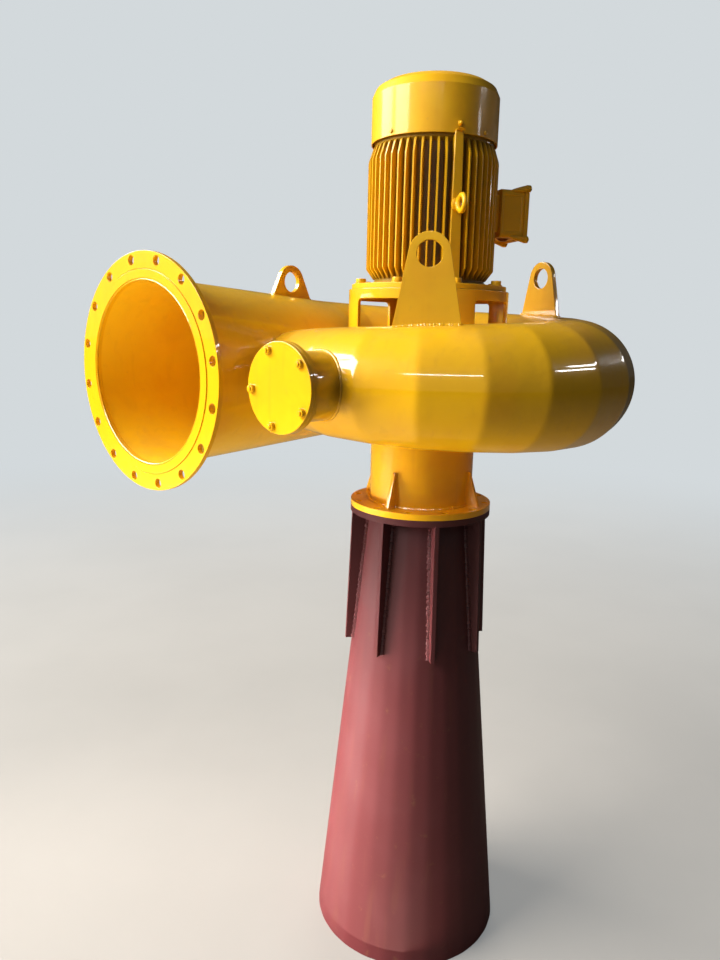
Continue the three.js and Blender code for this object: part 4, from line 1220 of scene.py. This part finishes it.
# Weld beads. A path's points come from a rule, or from rays cast onto the casing. Each bead's
# look holds the inputs of the weld bead's tree.
seamLook = {"Radius": 3.0, "Ripple": 3.4, "Depth": 0.16, "Unevenness": 0.25, "Spacing": 1.7,
            "Sides": 8}
lumpyLook = {"Radius": 4.4, "Ripple": 6.5, "Depth": 0.3, "Unevenness": 0.7, "Spacing": 1.8,
             "Sides": 8}
neckLook = {"Radius": 3.6, "Ripple": 7.0, "Depth": 0.12, "Unevenness": 0.4, "Spacing": 1.8,
            "Sides": 10}
fineLook = {"Radius": 2.2, "Ripple": 2.8, "Depth": 0.14, "Unevenness": 0.22, "Spacing": 1.5,
            "Sides": 6}
finWeldLook = {"Radius": 7.4, "Ripple": 14.0, "Depth": 0.45, "Unevenness": 0.6, "Spacing": 1.6,
               "Sides": 8}
coneWeldLook = {**fineLook, "Radius": 2.0}
# Rings are a radius and a height, or a place along the pipe and a radius.
weldPlaces = Look(
    standFoot=(204, 1631), throatTop=(137.4, 1505.5), throatFoot=(138.5, 1244.2),
    coneTop=(142.3, 1209), flangeBack=(-568.5, 228), flangeBore=(-580.2, 219.8),
    mouthHigh=1630.6, mouthLow=1505.6, neckProud=0.8, lugShort=3, lugProud=0.4, aboveLugs=1950,
    gussetProud=0.3, gussetTop=1333, gussetRise=89, gussetFoot=1243.6, gussetRun=33,
    gussetReach=136.6, finStart=853, finRuns=6, finRun=58, finStep=60, finEnd=1208, finProud=0.6,
    longSeamAngle=37, longSeamProud=0.4)


def onCasing(point, direction):
    return casingSurface.ray_cast(point, direction)[0]


def flatRing(radius, height):
    return [Vector((*point, height)) for point in circlePoints(radius, 200)], True


def ringAlongPipe(x, radius):
    return [Vector((x, inletLook.centreY + radius * math.cos(turn),
                    inletLook.centreHeight + radius * math.sin(turn))) for turn in turns(240)], True


# Where the strakes meet the stay ring, above or below.
def mouthSeam(height):
    path = []
    for step in range(240):
        swept = casingLook.strakes * casingLook.strakeAngle * step / 239
        middle, radius = casingCircle(swept)
        reach = middle - math.sqrt(radius ** 2 - casingLook.mouth ** 2)
        path.append(polar(90 - swept, reach, height))
    return path, False


# Points round a lug's foot, along one face and back along the other.
def roundTheFoot(steps):
    halfLength = lugLook.halfBase - weldPlaces.lugShort
    halfWidth = lugLook.thickness / 2 + weldPlaces.lugProud
    return [(-side * halfLength + side * 2 * halfLength * i / steps, side * halfWidth)
            for side in (1, -1) for i in range(steps + 1)]


def lugSeam(lug):
    place = facing(lug.angle, polar(lug.angle, lug.radius, weldPlaces.aboveLugs))
    hits = [onCasing(place @ Vector((x, 0, z)), Vector((0, 0, -1))) for x, z in roundTheFoot(60)]
    return [hit for hit in hits if hit], True


inletLugSeam = []
for x, y in roundTheFoot(40):
    centreY, centreHeight, radius = pipeCircle(inletLug.x + x)
    y += inletLook.centreY
    rise = math.sqrt(radius ** 2 - (y - centreY) ** 2)
    inletLugSeam.append(Vector((inletLug.x + x, y, centreHeight + rise)))
look = weldPlaces
seams = [flatRing(*look.standFoot), flatRing(*look.throatTop), ringAlongPipe(*look.flangeBack),
         mouthSeam(look.mouthHigh), mouthSeam(look.mouthLow), (inletLugSeam, True), *tailSeam]
finishPiece("weldSeams", weldBead(seams, seamLook, 3, beadYellow), beadYellow)
lumpySeams = [flatRing(*look.throatFoot), *(lugSeam(lug) for lug in casingLugs)]
finishPiece("lumpySeams", weldBead(lumpySeams, lumpyLook, 31, beadYellow), beadYellow)
neckPath = []
for y, z in circlePoints(handHoleLook.neckRadius + look.neckProud, 120):
    start = handHolePlace + Vector((-handHoleLook.coverFace, y, z))
    neckPath.append(onCasing(start, Vector((1, 0, 0))))
finishPiece("neckSeam", weldBead([(neckPath, True)], neckLook, 37, beadYellow), beadYellow)

fineSeams = [ringAlongPipe(*look.flangeBore)]
for index in range(throatLook.gussets):
    turn = about("Z", throatLook.firstGusset + 90 * index)
    for side in (-1, 1):
        across = side * (throatLook.gusset / 2 + look.gussetProud)
        reach = math.sqrt(look.gussetReach ** 2 - across ** 2)
        path = [Vector((reach, across, look.gussetTop - look.gussetRise * i / 30))
                for i in range(31)]
        path += [Vector((reach + look.gussetRun * i / 12, across, look.gussetFoot))
                 for i in range(1, 13)]
        fineSeams.append(([turn @ point for point in path], False))
finishPiece("fineSeams", weldBead(fineSeams, fineLook, 9, beadYellow), beadYellow)

# The fins' welds are short runs, one above the other.
finWelds = []
for index in range(draftLook.fins):
    turn = about("Z", draftLook.firstFin + 45 * index)
    for side in (-1, 1):
        across = side * (draftLook.finThickness / 2 + look.finProud)
        for run in range(look.finRuns):
            path = []
            for step in range(25):
                height = look.finStart + run * look.finStep + look.finRun * step / 24
                reach = math.sqrt(coneRadius(height) ** 2 - across ** 2)
                path.append(turn @ Vector((reach, across, min(height, look.finEnd))))
            finWelds.append((path, False))
finishPiece("draftFinWelds", weldBead(finWelds, finWeldLook, 17, beadPrimer), beadPrimer)
longSeam = [polar(look.longSeamAngle, coneRadius(height) + look.longSeamProud, height)
            for height in range(4, 1205, 6)]
coneWelds = [flatRing(*look.coneTop), (longSeam, False)]
finishPiece("draftConeWelds", weldBead(coneWelds, coneWeldLook, 23, beadPrimer), beadPrimer)
print("weld beads ready")

# Floor. Far from the part it turns into the backdrop, so that no horizon shows, and the light
# that it sends back onto the part is that of a darker workshop floor.
floorLook = Look(colour="a29b91", patches="9a9389", bounce="5e5850", size=120, paleness=0.3,
                 fadeFrom=1.0, fadeTo=8.0)
worldLook = Look(brightAngle=-50, brightHeight=20, darkSide=0.036, lightSide=0.3,
                 dimColour="e9eff5", backdrop="d3d9dc")
floorMaterial, w, shader = newMaterial("paleFloor")
place = w.spot()
clouds = w.noise(place, 0.9, 5, 0.55)
w.feed(w.blend(w.fade(clouds, 0.3, 0.75), colour(floorLook.colour), colour(floorLook.patches)),
       shader.inputs["Base Color"])
w.feed(w.plus(0.62, w.times(clouds, 0.2)), shader.inputs["Roughness"])
toCamera = w.result("ShaderNodeLightPath")
seenFar = w.times(w.fade(w.length(place), floorLook.fadeFrom, floorLook.fadeTo,
                         floorLook.paleness, 1.0), toCamera)
bounce = w.result("ShaderNodeBsdfDiffuse", colour(floorLook.bounce))
lighting = w.result("ShaderNodeMixShader", toCamera, bounce, shader.outputs[0])
glow = w.result("ShaderNodeEmission", colour(worldLook.backdrop), 1.0)
output = next(node for node in floorMaterial.node_tree.nodes
              if node.bl_idname == "ShaderNodeOutputMaterial")
w.feed(w.result("ShaderNodeMixShader", seenFar, lighting, glow), output.inputs["Surface"])
floor = bmesh.new()
bmesh.ops.create_grid(floor, x_segments=4, y_segments=4, size=floorLook.size / 2)
floorObject = looseObject("floor", floor)
floorObject.data.materials.append(floorMaterial)

# Camera, in the frame of a viewer who stands on the inlet's side.
cameraLook = Look(place=(-1604.6, -1193.8, 1700.8), lens=28.26, yaw=4.702, pitch=11.685,
                  roll=1.330, side=53.349)
look = cameraLook
yaw, pitch, roll, side = map(math.radians, (look.yaw, look.pitch, look.roll, look.side))


def fromView(x, y, z):
    return Vector((x * math.cos(side) + y * math.sin(side),
                   y * math.cos(side) - x * math.sin(side), z))


forward = fromView(-math.sin(yaw) * math.cos(pitch), math.cos(yaw) * math.cos(pitch),
                   -math.sin(pitch))
level = fromView(math.cos(yaw), math.sin(yaw), 0)
above = level.cross(forward)
right = level * math.cos(roll) + above * math.sin(roll)
up = above * math.cos(roll) - level * math.sin(roll)
camera = bpy.data.cameras.new("camera")
camera.lens, camera.sensor_width, camera.clip_end = look.lens, 36, 200
cameraObject = bpy.data.objects.new("camera", camera)
cameraObject.matrix_world = (shift(toFrame @ Vector(look.place))
                             @ Matrix((right, up, -forward)).transposed().to_4x4())
bpy.context.scene.collection.objects.link(cameraObject)
bpy.context.scene.camera = cameraObject

# Lights. An angle of 0 is towards the camera, and it grows to the camera's right. A light with
# no aim shines upwards. Its use tells if it lights matt surfaces, shiny ones or both.
front = -143.35
warm = (1.0, 0.98, 0.95)
lightLooks = [
    Look(name="doorwayNear", angle=-61, distance=8000, height=6200, size=(4.4, 5.0), power=1260,
         warmth=warm),
    Look(name="doorwayFar", angle=-96, distance=8000, height=6200, size=(4.4, 5.0), power=1140,
         warmth=warm),
    Look(name="floorGlow", angle=-70, distance=1800, height=40, size=(2.6, 2.6), power=68,
         warmth=(1.0, 0.9, 0.76), aim=None, use="matt"),
    Look(name="lowGlow", angle=-80, distance=2600, height=420, size=(1.2, 0.7), power=29,
         warmth=(1.0, 0.92, 0.88), aim=(0, 0, 440), use="matt", spread=56),
    Look(name="backFill", angle=178, distance=8000, height=4600, size=(5.0, 4.0), power=500,
         use="matt"),
    Look(name="frontStrip", angle=-8, distance=4200, height=3620, size=(3.2, 0.1), power=26,
         use="shine"),
    Look(name="rightPaneHigh", angle=92, distance=3800, height=3380, size=(0.9, 0.12), power=9,
         use="shine"),
    Look(name="rightPaneLow", angle=84, distance=3800, height=3060, size=(0.3, 0.1), power=3,
         use="shine"),
    Look(name="rightPaneFar", angle=124, distance=3800, height=2620, size=(0.5, 0.1), power=4,
         use="shine")]


def addLight(name, angle, distance, height, size, power, warmth=(1, 1, 1),
             aim=(-150, -150, 1620), use="both", spread=180):
    light = bpy.data.lights.new(name, "AREA")
    light.shape, light.energy, light.color = "RECTANGLE", power, warmth
    light.size, light.size_y = size
    light.spread = math.radians(spread)
    made = bpy.data.objects.new(name, light)
    made.visible_diffuse, made.visible_glossy = use != "shine", use != "matt"
    made.visible_camera = False
    spot = toFrame @ polar(front + angle, distance, height)
    target = toFrame @ Vector(aim) if aim else spot + Vector((0, 0, 1))
    turned = (target - spot).to_track_quat("-Z", "Y").to_matrix().to_4x4()
    made.matrix_world = shift(spot) @ turned
    bpy.context.scene.collection.objects.link(made)


for light in lightLooks:
    addLight(**light)
world = bpy.data.worlds.new("paleStudio")
world.use_nodes = True
world.node_tree.nodes.clear()
w = Wires(world.node_tree)
look, height = worldLook, math.radians(worldLook.brightHeight)
brightSide = polar(front + look.brightAngle, math.cos(height), math.sin(height))
across = w.result("ShaderNodeVectorMath", w.result("ShaderNodeTexCoord"), tuple(brightSide),
                  _operation="DOT_PRODUCT", output="Value")
strength = w.fade(across, -0.6, 1.0, look.darkSide, look.lightSide)
dim = w.result("ShaderNodeBackground", colour(look.dimColour), strength)
seen = w.result("ShaderNodeBackground", colour(look.backdrop), 1.0)
mixed = w.result("ShaderNodeMixShader", w.result("ShaderNodeLightPath"), dim, seen)
w.add("ShaderNodeOutputWorld", mixed)
bpy.context.scene.world = world
bpy.context.scene.view_settings.view_transform = "Standard"

print("scene ready")
